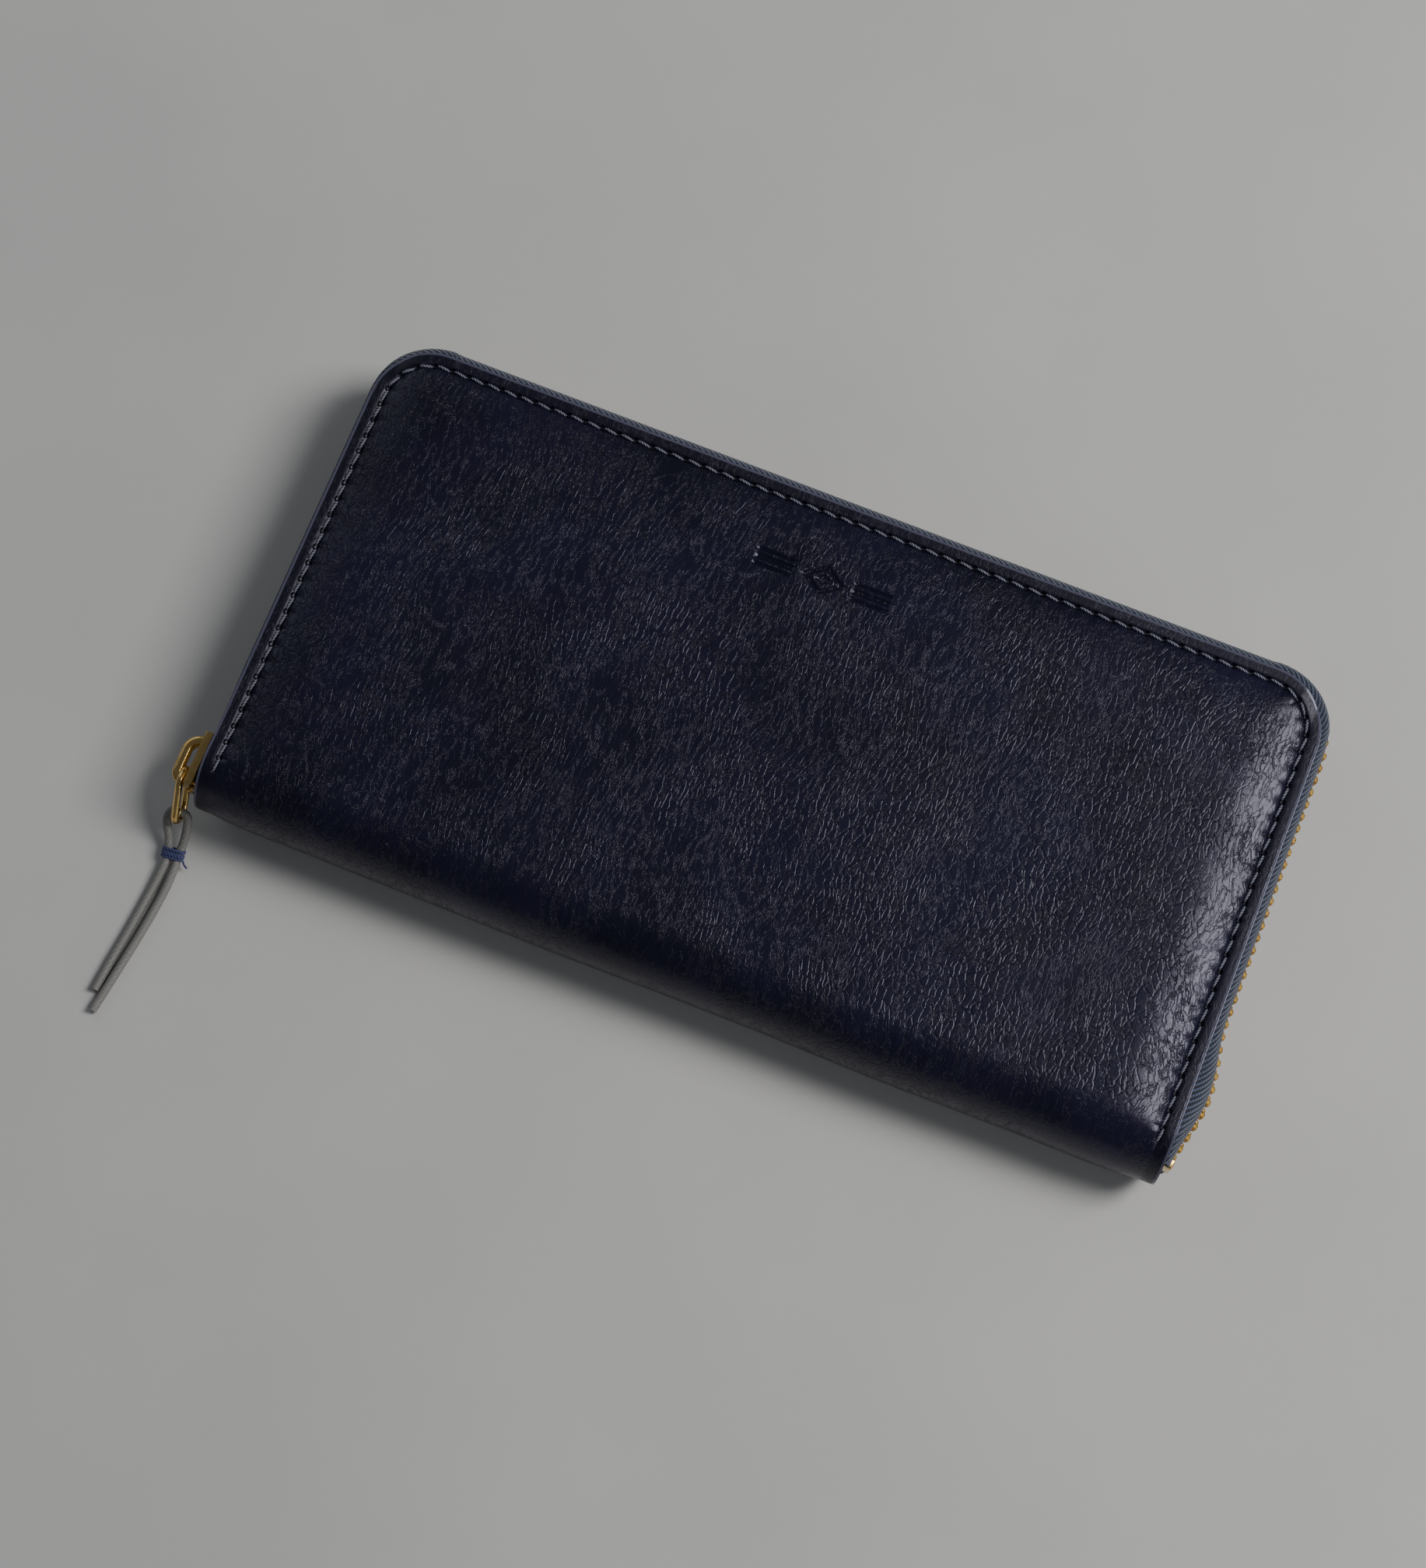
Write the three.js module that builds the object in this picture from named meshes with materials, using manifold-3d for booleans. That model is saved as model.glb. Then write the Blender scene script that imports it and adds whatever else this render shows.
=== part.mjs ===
// Long zip-around wallet, closed and lying on its back cover. Millimetres.
// +Z is up, +X runs along the spine, +Y runs from the spine to the zip's long side.
// The origin is on the face that the wallet rests on, and the slider is at the closed end of its zip.

import * as THREE from 'three';
import { mergeVertices } from 'three/addons/utils/BufferGeometryUtils.js';
import Module from 'manifold-3d';

const wasm = await Module();
wasm.setup();

// ---------------------------------------------------------------- driving dimensions

const length = 195;              // along the spine
const depth = 100;               // from the spine's crown to the covers' long edge
const thickness = 23;            // back cover to front cover, closed
const cornerRadius = 12;         // covers' two corners on the zip side
const spineCrown = 10;           // how far the spine bulges past the fold line

const gap = 0.3;                 // running or seating gap between neighbouring pieces
const leatherWall = 1.3;
const leatherEdgeRound = 0.35;
const boardWall = 0.7;
const boardInset = 8;
const boardSetback = 2;          // back board's edge from the fold line
const liningWall = 0.6;
const liningInset = 1.5;
const frontLiningSetback = 5;    // lets the front lining clear the coin pocket as it opens

const slotCount = 4;             // card slots on each cover
const slotWall = 0.6;
const slotPitch = 16;
const slotSetback = 9;           // first slot's edge from the fold line
const slotInset = 18;            // slots' ends inside the covers' ends

const tapeWall = 0.7;
const tapeFlange = 6;            // sewn between the leather and the lining
const tapeReliefHigh = 6;        // half height of the tape's bare tail beside the spine
const zipOutLeft = 0.65;         // zip's centre line outside the covers' edge, side by side
const zipOutTop = 1.2;
const zipOutRight = 1.45;
const zipEndInset = 4;           // zip's ends short of the spine's crown
const zipBulge = 1.9;            // zip's bow near the spine on the right
const zipBulgeLength = 30;
const zipTuck = 0.75;            // zip's return towards the cover at its right end

const toothPitch = 2.55;
const toothWide = 0.95;          // along the zip
const toothDeep = 2.4;           // across the zip's thickness
const toothOverlap = 1.4;        // how far the two rows interlock
const toothReach = 3.6;          // from the bead's far side to the tooth's tip
const beadHigh = 1.4;
const stopLong = 2;              // metal stops at the zip's ends

const sliderLong = 11;
const sliderPlate = 1;
const sliderOverhang = 0.8;      // slider's spine end past the zip's end
const wedgeLong = 2;             // post between the slider's plates
const bridgeProud = 3.65;
const bridgeBar = 1.7;
const bridgeSetback = 0.4;       // bridge's far foot inside the slider's end
const bridgeHigh = 2.4;
const bridgeRound = 2.3;         // outer bend of the bridge's bar

const linkLong = 12.5;
const linkWide = 6.5;
const linkBar = 1.4;
const linkDip = 44;              // degrees below level
const linkYaw = 6;               // degrees, lower end towards the wallet
const linkRoll = 3;              // degrees about its own length

const cordThick = 1.7;
const whippingLong = 2.2;
const whippingWall = 0.5;

const pocketHigh = 6;            // coin pocket, outside its two panels
const pocketWall = 0.6;
const pocketInset = 4.5;         // pocket's ends inside the covers' ends
const pocketMouthSetback = 20;   // pocket's mouth from the covers' long edge
const pocketBaseSetback = 4.6;   // panels' lower edge from the pocket's fold
const pocketSideInset = 0.8;
const pocketSideWall = 0.8;
const hingeStripWall = 0.8;

const coinTapeWall = 0.5;
const coinTapeFlange = 8;
const coinToothPitch = 2.5;
const coinToothWide = 0.8;
const coinToothDeep = 1.6;
const coinToothReach = 1.75;
const coinBeadHigh = 0.7;
const coinZipInset = 15;         // coin zip's ends inside the pocket's ends
const coinSliderLong = 8;
const coinSliderPlate = 0.8;
const coinSliderOverhang = 3;    // slider's closed end past the coin zip's teeth
const coinWedge = 2;
const coinLug = 2;               // cross pin's height over the slider
const coinPinHalf = 2.4;
const coinPullLong = 14;
const coinPullWide = 5;
const coinPullWall = 1;
const coinPullBar = 1.4;         // metal left around the pull's eye

const gussetWall = 0.6;
const gussetFold = 12;           // how far a gusset folds inwards
const gussetSlack = 2.6;         // the fold's inner point behind its outer one
const gussetSetback = 4;         // from the fold line
const gussetMouthSetback = 2;    // from the pocket's mouth

// ---------------------------------------------------------------- places worked out from them

const halfLength = length / 2;
const farY = depth / 2;
const foldY = -depth / 2 + spineCrown;       // the line the front cover folds about
const middleZ = thickness / 2;

const boardZ = leatherWall + gap;
const liningZ = boardZ + boardWall + gap;
const insideZ = liningZ + liningWall;        // inner face of the back lining
const slotZ = insideZ + gap;
const pocketZ = middleZ - pocketHigh / 2;
const pocketInsideZ = pocketZ + pocketWall;
const pocketHalfWidth = halfLength - pocketInset;
const pocketMouthY = farY - pocketMouthSetback;
const slotHalfWidth = halfLength - slotInset;
const coinZipHalf = pocketHalfWidth - coinZipInset;

// ---------------------------------------------------------------- materials

const finish = (colour, roughness, metalness) =>
  new THREE.MeshStandardMaterial({ color: colour, roughness, metalness });

const leather = () => finish(0x23263e, 0.5, 0);
const boardPaper = () => finish(0x6b6258, 0.9, 0);
const innerLeather = () => finish(0x2c304a, 0.55, 0);
const twill = () => finish(0x39455c, 0.85, 0);
const brass = () => finish(0xc9a04e, 0.3, 1);
const cordGrey = () => finish(0x8f8f8d, 0.8, 0);
const threadBlue = () => finish(0x3a4378, 0.8, 0);

const wallet = new THREE.Group();

function part(name, geometry, material) {
  const mesh = new THREE.Mesh(geometry, material);
  mesh.name = name;
  wallet.add(mesh);
  return mesh;
}

// ---------------------------------------------------------------- solid helpers

function toManifold(geometry) {
  const plain = geometry.clone();
  plain.deleteAttribute('normal');
  plain.deleteAttribute('uv');
  const merged = mergeVertices(plain, 1e-5);
  const mesh = new wasm.Mesh({
    numProp: 3,
    vertProperties: new Float32Array(merged.attributes.position.array),
    triVerts: new Uint32Array(merged.index.array),
  });
  return new wasm.Manifold(mesh);
}

function fromManifold(solid) {
  const mesh = solid.getMesh();
  const geometry = new THREE.BufferGeometry();
  geometry.setAttribute('position', new THREE.BufferAttribute(new Float32Array(mesh.vertProperties), 3));
  geometry.setIndex(new THREE.BufferAttribute(new Uint32Array(mesh.triVerts), 1));
  geometry.computeVertexNormals();
  return geometry;
}

function join(geometries) {
  let whole = toManifold(geometries[0]);
  for (const geometry of geometries.slice(1)) whole = whole.add(toManifold(geometry));
  return fromManifold(whole);
}

function cut(geometry, tools) {
  let rest = toManifold(geometry);
  for (const tool of tools) rest = rest.subtract(toManifold(tool));
  return fromManifold(rest);
}

// A box between two opposite corners, given in any order.
function block(x0, x1, y0, y1, z0, z1) {
  const box = new THREE.BoxGeometry(Math.abs(x1 - x0), Math.abs(y1 - y0), Math.abs(z1 - z0));
  box.translate((x0 + x1) / 2, (y0 + y1) / 2, (z0 + z1) / 2);
  return box;
}

// The same piece on the other cover: heights are counted down from the front instead of up.
function flipOver(geometry) {
  const flipped = geometry.index ? geometry.toNonIndexed() : geometry.clone();
  const position = flipped.attributes.position;
  for (let i = 0; i < position.count; i += 1) position.setZ(i, thickness - position.getZ(i));
  return turnedOut(flipped);
}

// Six times the enclosed volume, negative where the faces point inwards.
function signedVolume(geometry) {
  const position = geometry.attributes.position;
  const a = new THREE.Vector3();
  const b = new THREE.Vector3();
  const c = new THREE.Vector3();
  let total = 0;
  for (let i = 0; i < position.count; i += 3) {
    a.fromBufferAttribute(position, i);
    b.fromBufferAttribute(position, i + 1);
    c.fromBufferAttribute(position, i + 2);
    total += a.dot(b.cross(c));
  }
  return total;
}

// Swaps each face's winding where the whole solid is inside out.
function turnedOut(geometry) {
  if (signedVolume(geometry) < 0) {
    const position = geometry.attributes.position;
    const held = new THREE.Vector3();
    const other = new THREE.Vector3();
    for (let i = 0; i < position.count; i += 3) {
      held.fromBufferAttribute(position, i + 1);
      other.fromBufferAttribute(position, i + 2);
      position.setXYZ(i + 1, other.x, other.y, other.z);
      position.setXYZ(i + 2, held.x, held.y, held.z);
    }
  }
  geometry.computeVertexNormals();
  return geometry;
}

// Carries a closed section, points of [outwards, up], along stations {x, y, nx, ny}.
function sweep(section, stations, closed = false) {
  const corner = (station, [out, up]) =>
    [station.x + station.nx * out, station.y + station.ny * out, up];
  const points = [];
  const face = (...corners) => corners.forEach((p) => points.push(...p));
  const spans = closed ? stations.length : stations.length - 1;
  for (let i = 0; i < spans; i += 1) {
    const here = stations[i];
    const next = stations[(i + 1) % stations.length];
    section.forEach((first, j) => {
      const second = section[(j + 1) % section.length];
      face(corner(here, first), corner(next, first), corner(next, second));
      face(corner(here, first), corner(next, second), corner(here, second));
    });
  }
  if (!closed) {
    const contour = section.map(([out, up]) => new THREE.Vector2(out, up));
    const start = stations[0];
    const end = stations[stations.length - 1];
    const clockwise = THREE.ShapeUtils.isClockWise(contour);
    for (const [a, b, c] of THREE.ShapeUtils.triangulateShape(contour, [])) {
      const [p, q, r] = [section[a], section[b], section[c]];
      const same = THREE.ShapeUtils.isClockWise([contour[a], contour[b], contour[c]]) === clockwise;
      const [s, t] = same ? [q, r] : [r, q];
      face(corner(start, p), corner(start, s), corner(start, t));
      face(corner(end, p), corner(end, t), corner(end, s));
    }
  }
  const geometry = new THREE.BufferGeometry();
  geometry.setAttribute('position', new THREE.Float32BufferAttribute(points, 3));
  return turnedOut(geometry);
}

const rectangle = (out0, out1, up0, up1) => [[out0, up0], [out1, up0], [out1, up1], [out0, up1]];

function regularPolygon(radius, sides, out = 0, up = 0) {
  const points = [];
  for (let i = 0; i < sides; i += 1) {
    const angle = (i + 0.5) * 2 * Math.PI / sides;
    points.push([out + radius * Math.cos(angle), up + radius * Math.sin(angle)]);
  }
  return points;
}

// Stations round a link or sleeve: two half circles joined by straights along Y.
function linkStations(radius, straight, steps = 8) {
  const stations = [];
  for (const end of [1, -1]) {
    for (let i = 0; i <= steps; i += 1) {
      const angle = (end > 0 ? 0 : Math.PI) + Math.PI * i / steps;
      const nx = Math.cos(angle);
      const ny = Math.sin(angle);
      stations.push({ x: radius * nx, y: radius * ny + end * straight / 2, nx, ny });
    }
  }
  return stations;
}

// A cover-shaped layer, square at the spine and rounded on the zip side.
function coverLayer(inset, startY, z0, wall, edgeRound = 0) {
  const x = halfLength - inset;
  const y = farY - inset;
  const r = Math.max(cornerRadius - inset, 1);
  const shape = new THREE.Shape();
  shape.moveTo(-x, startY);
  shape.lineTo(x, startY);
  shape.lineTo(x, y - r);
  shape.absarc(x - r, y - r, r, 0, Math.PI / 2, false);
  shape.lineTo(-x + r, y);
  shape.absarc(-x + r, y - r, r, Math.PI / 2, Math.PI, false);
  shape.closePath();
  const layer = new THREE.ExtrudeGeometry(shape, {
    depth: wall - 2 * edgeRound,
    curveSegments: 8,
    bevelEnabled: edgeRound > 0,
    bevelThickness: edgeRound,
    bevelSize: edgeRound,
    bevelOffset: -edgeRound,
    bevelSegments: 1,
  });
  layer.translate(0, 0, z0 + edgeRound);
  return layer;
}

// A half-oval shell round the spine, between two distances inside the leather's outer face.
function spineShell(outerInset, wall, halfWidth) {
  const shape = new THREE.Shape();
  const outerY = spineCrown - outerInset;
  const outerZ = middleZ - outerInset;
  const endY = foldY - gap / 2;
  const outer = new THREE.EllipseCurve(0, 0, outerY, outerZ, Math.PI / 2, 3 * Math.PI / 2);
  const inner = new THREE.EllipseCurve(0, 0, outerY - wall, outerZ - wall, 3 * Math.PI / 2, Math.PI / 2, true);
  const outline = [...outer.getPoints(20), ...inner.getPoints(20)];
  shape.setFromPoints(outline.map((p) => new THREE.Vector2(endY + p.x, middleZ + p.y)));
  const shell = new THREE.ExtrudeGeometry(shape, { depth: 2 * halfWidth, bevelEnabled: false });
  shell.translate(0, 0, -halfWidth);
  // Shape x, shape y and extrusion become Y, Z and X.
  const turn = new THREE.Matrix4().makeBasis(
    new THREE.Vector3(0, 1, 0), new THREE.Vector3(0, 0, 1), new THREE.Vector3(1, 0, 0));
  shell.applyMatrix4(turn);
  return shell;
}

// ---------------------------------------------------------------- covers, spine and linings

const coverStartY = foldY + gap / 2;
const boardStartY = foldY + boardSetback;
const frontLiningStartY = foldY + frontLiningSetback;

const backLeather = coverLayer(0, coverStartY, 0, leatherWall, leatherEdgeRound);
const backBoard = coverLayer(boardInset, boardStartY, boardZ, boardWall);
const backLining = coverLayer(liningInset, coverStartY, liningZ, liningWall);
const frontBoard = coverLayer(boardInset, frontLiningStartY, boardZ, boardWall);
const frontLining = coverLayer(liningInset, frontLiningStartY, liningZ, liningWall);

part('back_leather', backLeather, leather());
part('spine_leather', spineShell(0, leatherWall, halfLength), leather());
part('front_leather', flipOver(backLeather), leather());
part('back_board', backBoard, boardPaper());
part('front_board', flipOver(frontBoard), boardPaper());
part('back_lining', backLining, innerLeather());
part('front_lining', flipOver(frontLining), innerLeather());
part('spine_lining', spineShell(leatherWall + gap, liningWall, halfLength - boardInset), innerLeather());

for (let i = 0; i < slotCount; i += 1) {
  const y0 = foldY + slotSetback + i * slotPitch;
  const slot = block(-slotHalfWidth, slotHalfWidth, y0, y0 + slotPitch - gap, slotZ, slotZ + slotWall);
  part(`card_slot_back_${i + 1}`, slot, innerLeather());
  part(`card_slot_front_${i + 1}`, flipOver(slot), innerLeather());
}

// ---------------------------------------------------------------- the zip's line round three sides

const zipLeftX = -halfLength - zipOutLeft;
const zipRightX = halfLength + zipOutRight;
const zipTopY = farY + zipOutTop;
const zipCorner = cornerRadius + (zipOutLeft + zipOutTop) / 2;
const zipEndY = -depth / 2 + zipEndInset;
const bulgeStartY = zipEndY + zipBulgeLength;

function zipLinePoints() {
  const points = [{ x: zipLeftX, y: zipEndY, nx: -1, ny: 0 }];
  const steps = 10;
  for (const [centreX, from] of [[zipLeftX + zipCorner, Math.PI], [zipRightX - zipCorner, Math.PI / 2]]) {
    for (let i = 0; i <= steps; i += 1) {
      const angle = from - Math.PI / 2 * i / steps;
      const nx = Math.cos(angle);
      const ny = Math.sin(angle);
      points.push({ x: centreX + zipCorner * nx, y: zipTopY - zipCorner + zipCorner * ny, nx, ny });
    }
  }
  const bow = (t) => zipBulge * Math.sin(Math.PI * t) ** 2 - zipTuck * t ** 4;
  const bowSteps = 14;
  for (let i = 0; i <= bowSteps; i += 1) {
    const t = i / bowSteps;
    const rise = (bow(t + 0.01) - bow(t - 0.01)) / (0.02 * zipBulgeLength);
    const long = Math.hypot(1, rise);
    points.push({ x: zipRightX + bow(t), y: bulgeStartY - t * zipBulgeLength, nx: 1 / long, ny: rise / long });
  }
  return points;
}

const zipLine = zipLinePoints();
const zipReach = [0];
for (let i = 1; i < zipLine.length; i += 1) {
  const step = Math.hypot(zipLine[i].x - zipLine[i - 1].x, zipLine[i].y - zipLine[i - 1].y);
  zipReach.push(zipReach[i - 1] + step);
}
const zipLength = zipReach[zipReach.length - 1];
const leftRun = zipTopY - zipCorner - zipEndY;       // straight stretch that the slider runs on
const rightEndRun = zipLength - zipBulgeLength;      // where the bowed end starts

// The place and outward direction at a distance along the zip.
function along(distance) {
  let i = 1;
  while (i < zipReach.length - 1 && zipReach[i] < distance) i += 1;
  const share = (distance - zipReach[i - 1]) / (zipReach[i] - zipReach[i - 1]);
  const [p, q] = [zipLine[i - 1], zipLine[i]];
  const mix = (a, b) => a + (b - a) * share;
  const [nx, ny] = [mix(p.nx, q.nx), mix(p.ny, q.ny)];
  const long = Math.hypot(nx, ny);
  return { x: mix(p.x, q.x), y: mix(p.y, q.y), nx: nx / long, ny: ny / long };
}

function zipStations(from, to) {
  const between = zipLine.filter((point, i) => zipReach[i] > from + 0.05 && zipReach[i] < to - 0.05);
  return [along(from), ...between, along(to)];
}

// ---------------------------------------------------------------- zip tapes and tooth rows

const toothTipZ = middleZ + toothOverlap / 2;
const toothBaseZ = toothTipZ - toothReach;
const tapeTopZ = toothBaseZ - gap;
const tapeHalf = tapeWall / 2;
const flangeZ = leatherWall + gap;
const tapeSection = [
  [-tapeFlange - tapeHalf, flangeZ], [tapeHalf, flangeZ], [tapeHalf, tapeTopZ],
  [-tapeHalf, tapeTopZ], [-tapeHalf, flangeZ + tapeWall], [-tapeFlange - tapeHalf, flangeZ + tapeWall],
];

// Past the fold line the tape is only its upstanding wall, clear of the round spine.
const spineRelief = block(-length, length, foldY + 1, -depth, 0, middleZ - tapeReliefHigh);

function tape(from, to) {
  return cut(sweep(tapeSection, zipStations(from, to)), [spineRelief]);
}

const tapeCut = gap / 2;
part('zip_tape_back', tape(0, zipLength), twill());
part('zip_tape_front_left', flipOver(tape(0, leftRun - tapeCut)), twill());
part('zip_tape_front', flipOver(tape(leftRun + tapeCut, rightEndRun - tapeCut)), twill());
part('zip_tape_front_end', flipOver(tape(rightEndRun + tapeCut, zipLength)), twill());

const rowStart = stopLong + gap;
const bead = rectangle(-toothDeep / 2, toothDeep / 2, toothBaseZ, toothBaseZ + beadHigh);

function placedTooth(distance) {
  const { x, y, nx, ny } = along(distance);
  const tooth = new THREE.BoxGeometry(toothDeep, toothWide, toothReach);
  tooth.rotateZ(Math.atan2(ny, nx));
  tooth.translate(x, y, toothBaseZ + toothReach / 2);
  return tooth;
}

// One row between two distances: its bead, with a tooth at every pitch counted from the zip's start.
function toothRow(from, to, phase) {
  const pieces = [sweep(bead, zipStations(from, to))];
  const first = rowStart + toothWide + phase * toothPitch;
  for (let at = first; at < to - toothWide; at += toothPitch) {
    if (at > from + toothWide) pieces.push(placedTooth(at));
  }
  return join(pieces);
}

const rowRuns = [
  ['_left', rowStart, leftRun - tapeCut],
  ['', leftRun + tapeCut, rightEndRun - tapeCut],
  ['_end', rightEndRun + tapeCut, zipLength - rowStart],
];
for (const [suffix, from, to] of rowRuns) {
  part(`zip_teeth_back${suffix}`, toothRow(from, to, 0), brass());
  part(`zip_teeth_front${suffix}`, flipOver(toothRow(from, to, 0.5)), brass());
}

const topStop = sweep(
  rectangle(-toothDeep / 2, toothDeep / 2, toothBaseZ, toothBaseZ + beadHigh), zipStations(0, stopLong));
part('zip_top_stop_back', topStop, brass());
part('zip_top_stop_front', flipOver(topStop), brass());
const bottomStop = sweep(
  rectangle(-toothDeep / 2, toothDeep / 2, toothBaseZ, thickness - toothBaseZ),
  zipStations(zipLength - stopLong, zipLength));
part('zip_bottom_stop', bottomStop, brass());

// ---------------------------------------------------------------- slider, link and pull cord

const sliderY0 = zipEndY - sliderOverhang;
const sliderY1 = sliderY0 + sliderLong;
const channelHalf = toothDeep / 2 + gap;
const channelLowZ = toothBaseZ - gap;
const outwards = (distance) => zipLeftX - distance;
const plateFar = channelHalf + sliderPlate;
const sliderLowZ = channelLowZ - sliderPlate;
const lipEnd = tapeHalf + gap;
const wedgeHalf = middleZ - toothBaseZ - beadHigh - gap;

function slider() {
  const pieces = [
    block(outwards(channelHalf), outwards(plateFar), sliderY0, sliderY1, sliderLowZ, thickness - sliderLowZ),
    block(outwards(-plateFar), outwards(-channelHalf), sliderY0, sliderY1, sliderLowZ, thickness - sliderLowZ),
    block(outwards(-plateFar), outwards(plateFar), sliderY0, sliderY0 + wedgeLong,
      middleZ - wedgeHalf, middleZ + wedgeHalf),
  ];
  for (const [near, far] of [[lipEnd, plateFar], [-plateFar, -lipEnd]]) {
    pieces.push(block(outwards(near), outwards(far), sliderY0, sliderY1, sliderLowZ, channelLowZ));
    pieces.push(block(outwards(near), outwards(far), sliderY0, sliderY1,
      thickness - channelLowZ, thickness - sliderLowZ));
  }
  pieces.push(bridge());
  return join(pieces);
}

// The arched bar that the link hangs on, standing on the slider's outer plate.
function bridge() {
  const y1 = sliderY1 - bridgeSetback;
  const arch = (inset, startX) => {
    const r = bridgeRound - inset;
    const shape = new THREE.Shape();
    shape.moveTo(startX, sliderY0 + inset);
    shape.lineTo(bridgeProud - inset - r, sliderY0 + inset);
    shape.absarc(bridgeProud - inset - r, sliderY0 + inset + r, r, -Math.PI / 2, 0, false);
    shape.lineTo(bridgeProud - inset, y1 - inset - r);
    shape.absarc(bridgeProud - inset - r, y1 - inset - r, r, 0, Math.PI / 2, false);
    shape.lineTo(startX, y1 - inset);
    shape.closePath();
    return shape;
  };
  const footed = arch(0, -sliderPlate / 2);
  const bar = new THREE.ExtrudeGeometry(footed, { depth: bridgeHigh, bevelEnabled: false, curveSegments: 5 });
  const hollow = new THREE.ExtrudeGeometry(arch(bridgeBar, -sliderPlate), {
    depth: bridgeHigh + 2, bevelEnabled: false, curveSegments: 5,
  });
  hollow.translate(0, 0, -1);
  const filled = cut(bar, [hollow]);
  // Counted outwards from the plate, so X turns round and the solid is turned out again.
  const loose = filled.toNonIndexed();
  const position = loose.attributes.position;
  for (let i = 0; i < position.count; i += 1) {
    position.setX(i, outwards(plateFar) - position.getX(i));
    position.setZ(i, position.getZ(i) + middleZ - bridgeHigh / 2);
  }
  return turnedOut(loose);
}

part('slider_body', slider(), brass());

// The link hangs round the bridge's leg nearest the spine.
const linkX = outwards(plateFar + (bridgeProud - bridgeBar) / 2);
const linkY = sliderY0 + bridgeBar / 2;
const linkRadius = (linkWide - linkBar) / 2;
const linkStraight = linkLong - linkWide;

function link() {
  const ring = sweep(regularPolygon(linkBar / 2, 8), linkStations(linkRadius, linkStraight), true);
  ring.translate(0, -linkStraight / 2, 0);
  ring.rotateY(THREE.MathUtils.degToRad(90 - linkRoll));
  ring.rotateX(THREE.MathUtils.degToRad(linkDip));
  ring.rotateZ(THREE.MathUtils.degToRad(linkYaw));
  ring.translate(linkX, linkY, middleZ);
  return ring;
}

part('link_ring', link(), brass());

// The cord is doubled through the link. Each half runs from the fold in the link to its cut end.
const cordLeftRoute = [
  [-101.35, -50.7, 6.9], [-102.6, -51.05, 6.6], [-103.15, -52.7, 5.2], [-101.8, -55.6, 3.1],
  [-101.1, -57.9, 2.1], [-100.8, -60.5, 1.6], [-101.2, -66.0, 1.05], [-101.9, -74.0, 0.95],
  [-102.7, -81.5, 0.95], [-103.3, -88.0, 0.95],
];
const cordRightRoute = [
  [-100.65, -50.7, 6.9], [-99.4, -51.05, 6.6], [-98.85, -52.7, 5.2], [-98.75, -55.6, 3.1],
  [-98.9, -57.9, 2.1], [-98.7, -60.5, 1.6], [-98.8, -66.0, 1.05], [-99.6, -74.5, 0.95],
  [-100.8, -83.5, 0.95], [-102.0, -91.9, 0.95],
];

function cordAlong(route) {
  const curve = new THREE.CatmullRomCurve3(route.map(([x, y, z]) => new THREE.Vector3(x, y, z)));
  const round = new THREE.Shape();
  round.setFromPoints(regularPolygon(cordThick / 2, 8).map(([x, y]) => new THREE.Vector2(x, y)));
  return new THREE.ExtrudeGeometry(round, { steps: 40, extrudePath: curve, bevelEnabled: false });
}

part('pull_cord_left', cordAlong(cordLeftRoute), cordGrey());
part('pull_cord_right', cordAlong(cordRightRoute), cordGrey());

// A sleeve of thread round both strands, just below the link.
function whipping() {
  const left = new THREE.Vector3(...cordLeftRoute[4]);
  const right = new THREE.Vector3(...cordRightRoute[4]);
  const before = new THREE.Vector3(...cordLeftRoute[3]).add(new THREE.Vector3(...cordRightRoute[3]));
  const after = new THREE.Vector3(...cordLeftRoute[5]).add(new THREE.Vector3(...cordRightRoute[5]));
  const lengthwise = after.sub(before).normalize();
  const across = right.clone().sub(left);
  const spread = across.length();
  const facing = new THREE.Vector3().crossVectors(across, lengthwise).normalize();
  const sideways = new THREE.Vector3().crossVectors(lengthwise, facing);
  const band = rectangle(0, whippingWall, -whippingLong / 2, whippingLong / 2);
  const sleeve = sweep(band, linkStations(cordThick / 2 + gap, spread, 6), true);
  sleeve.applyMatrix4(new THREE.Matrix4().makeBasis(facing, sideways, lengthwise));
  const middle = left.add(right).multiplyScalar(0.5);
  sleeve.translate(middle.x, middle.y, middle.z);
  return turnedOut(sleeve);
}

part('cord_whipping', whipping(), threadBlue());

// ---------------------------------------------------------------- coin pocket between the covers

const pocketFoldY = -depth / 2 + leatherWall + liningWall + 3 * gap;
const panelStartY = pocketFoldY + pocketBaseSetback;
const backPanel = block(-pocketHalfWidth, pocketHalfWidth, panelStartY, pocketMouthY, pocketZ, pocketInsideZ);
const betweenLow = pocketInsideZ + gap;
const betweenHigh = thickness - betweenLow;
const sideX = pocketHalfWidth - pocketSideInset;

part('pocket_back_panel', backPanel, innerLeather());
part('pocket_front_panel', flipOver(backPanel), innerLeather());
for (const [side, sign] of [['left', -1], ['right', 1]]) {
  const wall = block(sign * (sideX - pocketSideWall), sign * sideX,
    panelStartY + hingeStripWall + gap, pocketMouthY - coinTapeFlange - gap, betweenLow, betweenHigh);
  part(`pocket_side_${side}`, wall, innerLeather());
}
part('pocket_base', join([
  block(-sideX, sideX, panelStartY, panelStartY + hingeStripWall, betweenLow, betweenHigh),
  block(-sideX, sideX, pocketFoldY, panelStartY + hingeStripWall,
    middleZ - hingeStripWall / 2, middleZ + hingeStripWall / 2),
]), innerLeather());

// ---------------------------------------------------------------- coin pocket's own zip

const coinY = pocketMouthY + coinToothDeep / 2 + gap;
const coinTape = block(-sideX, sideX, pocketMouthY - coinTapeFlange, coinY, betweenLow, betweenLow + coinTapeWall);
part('pocket_tape_back', coinTape, twill());
part('pocket_tape_front', flipOver(coinTape), twill());

const coinToothZ = betweenLow + coinTapeWall + gap;

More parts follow.
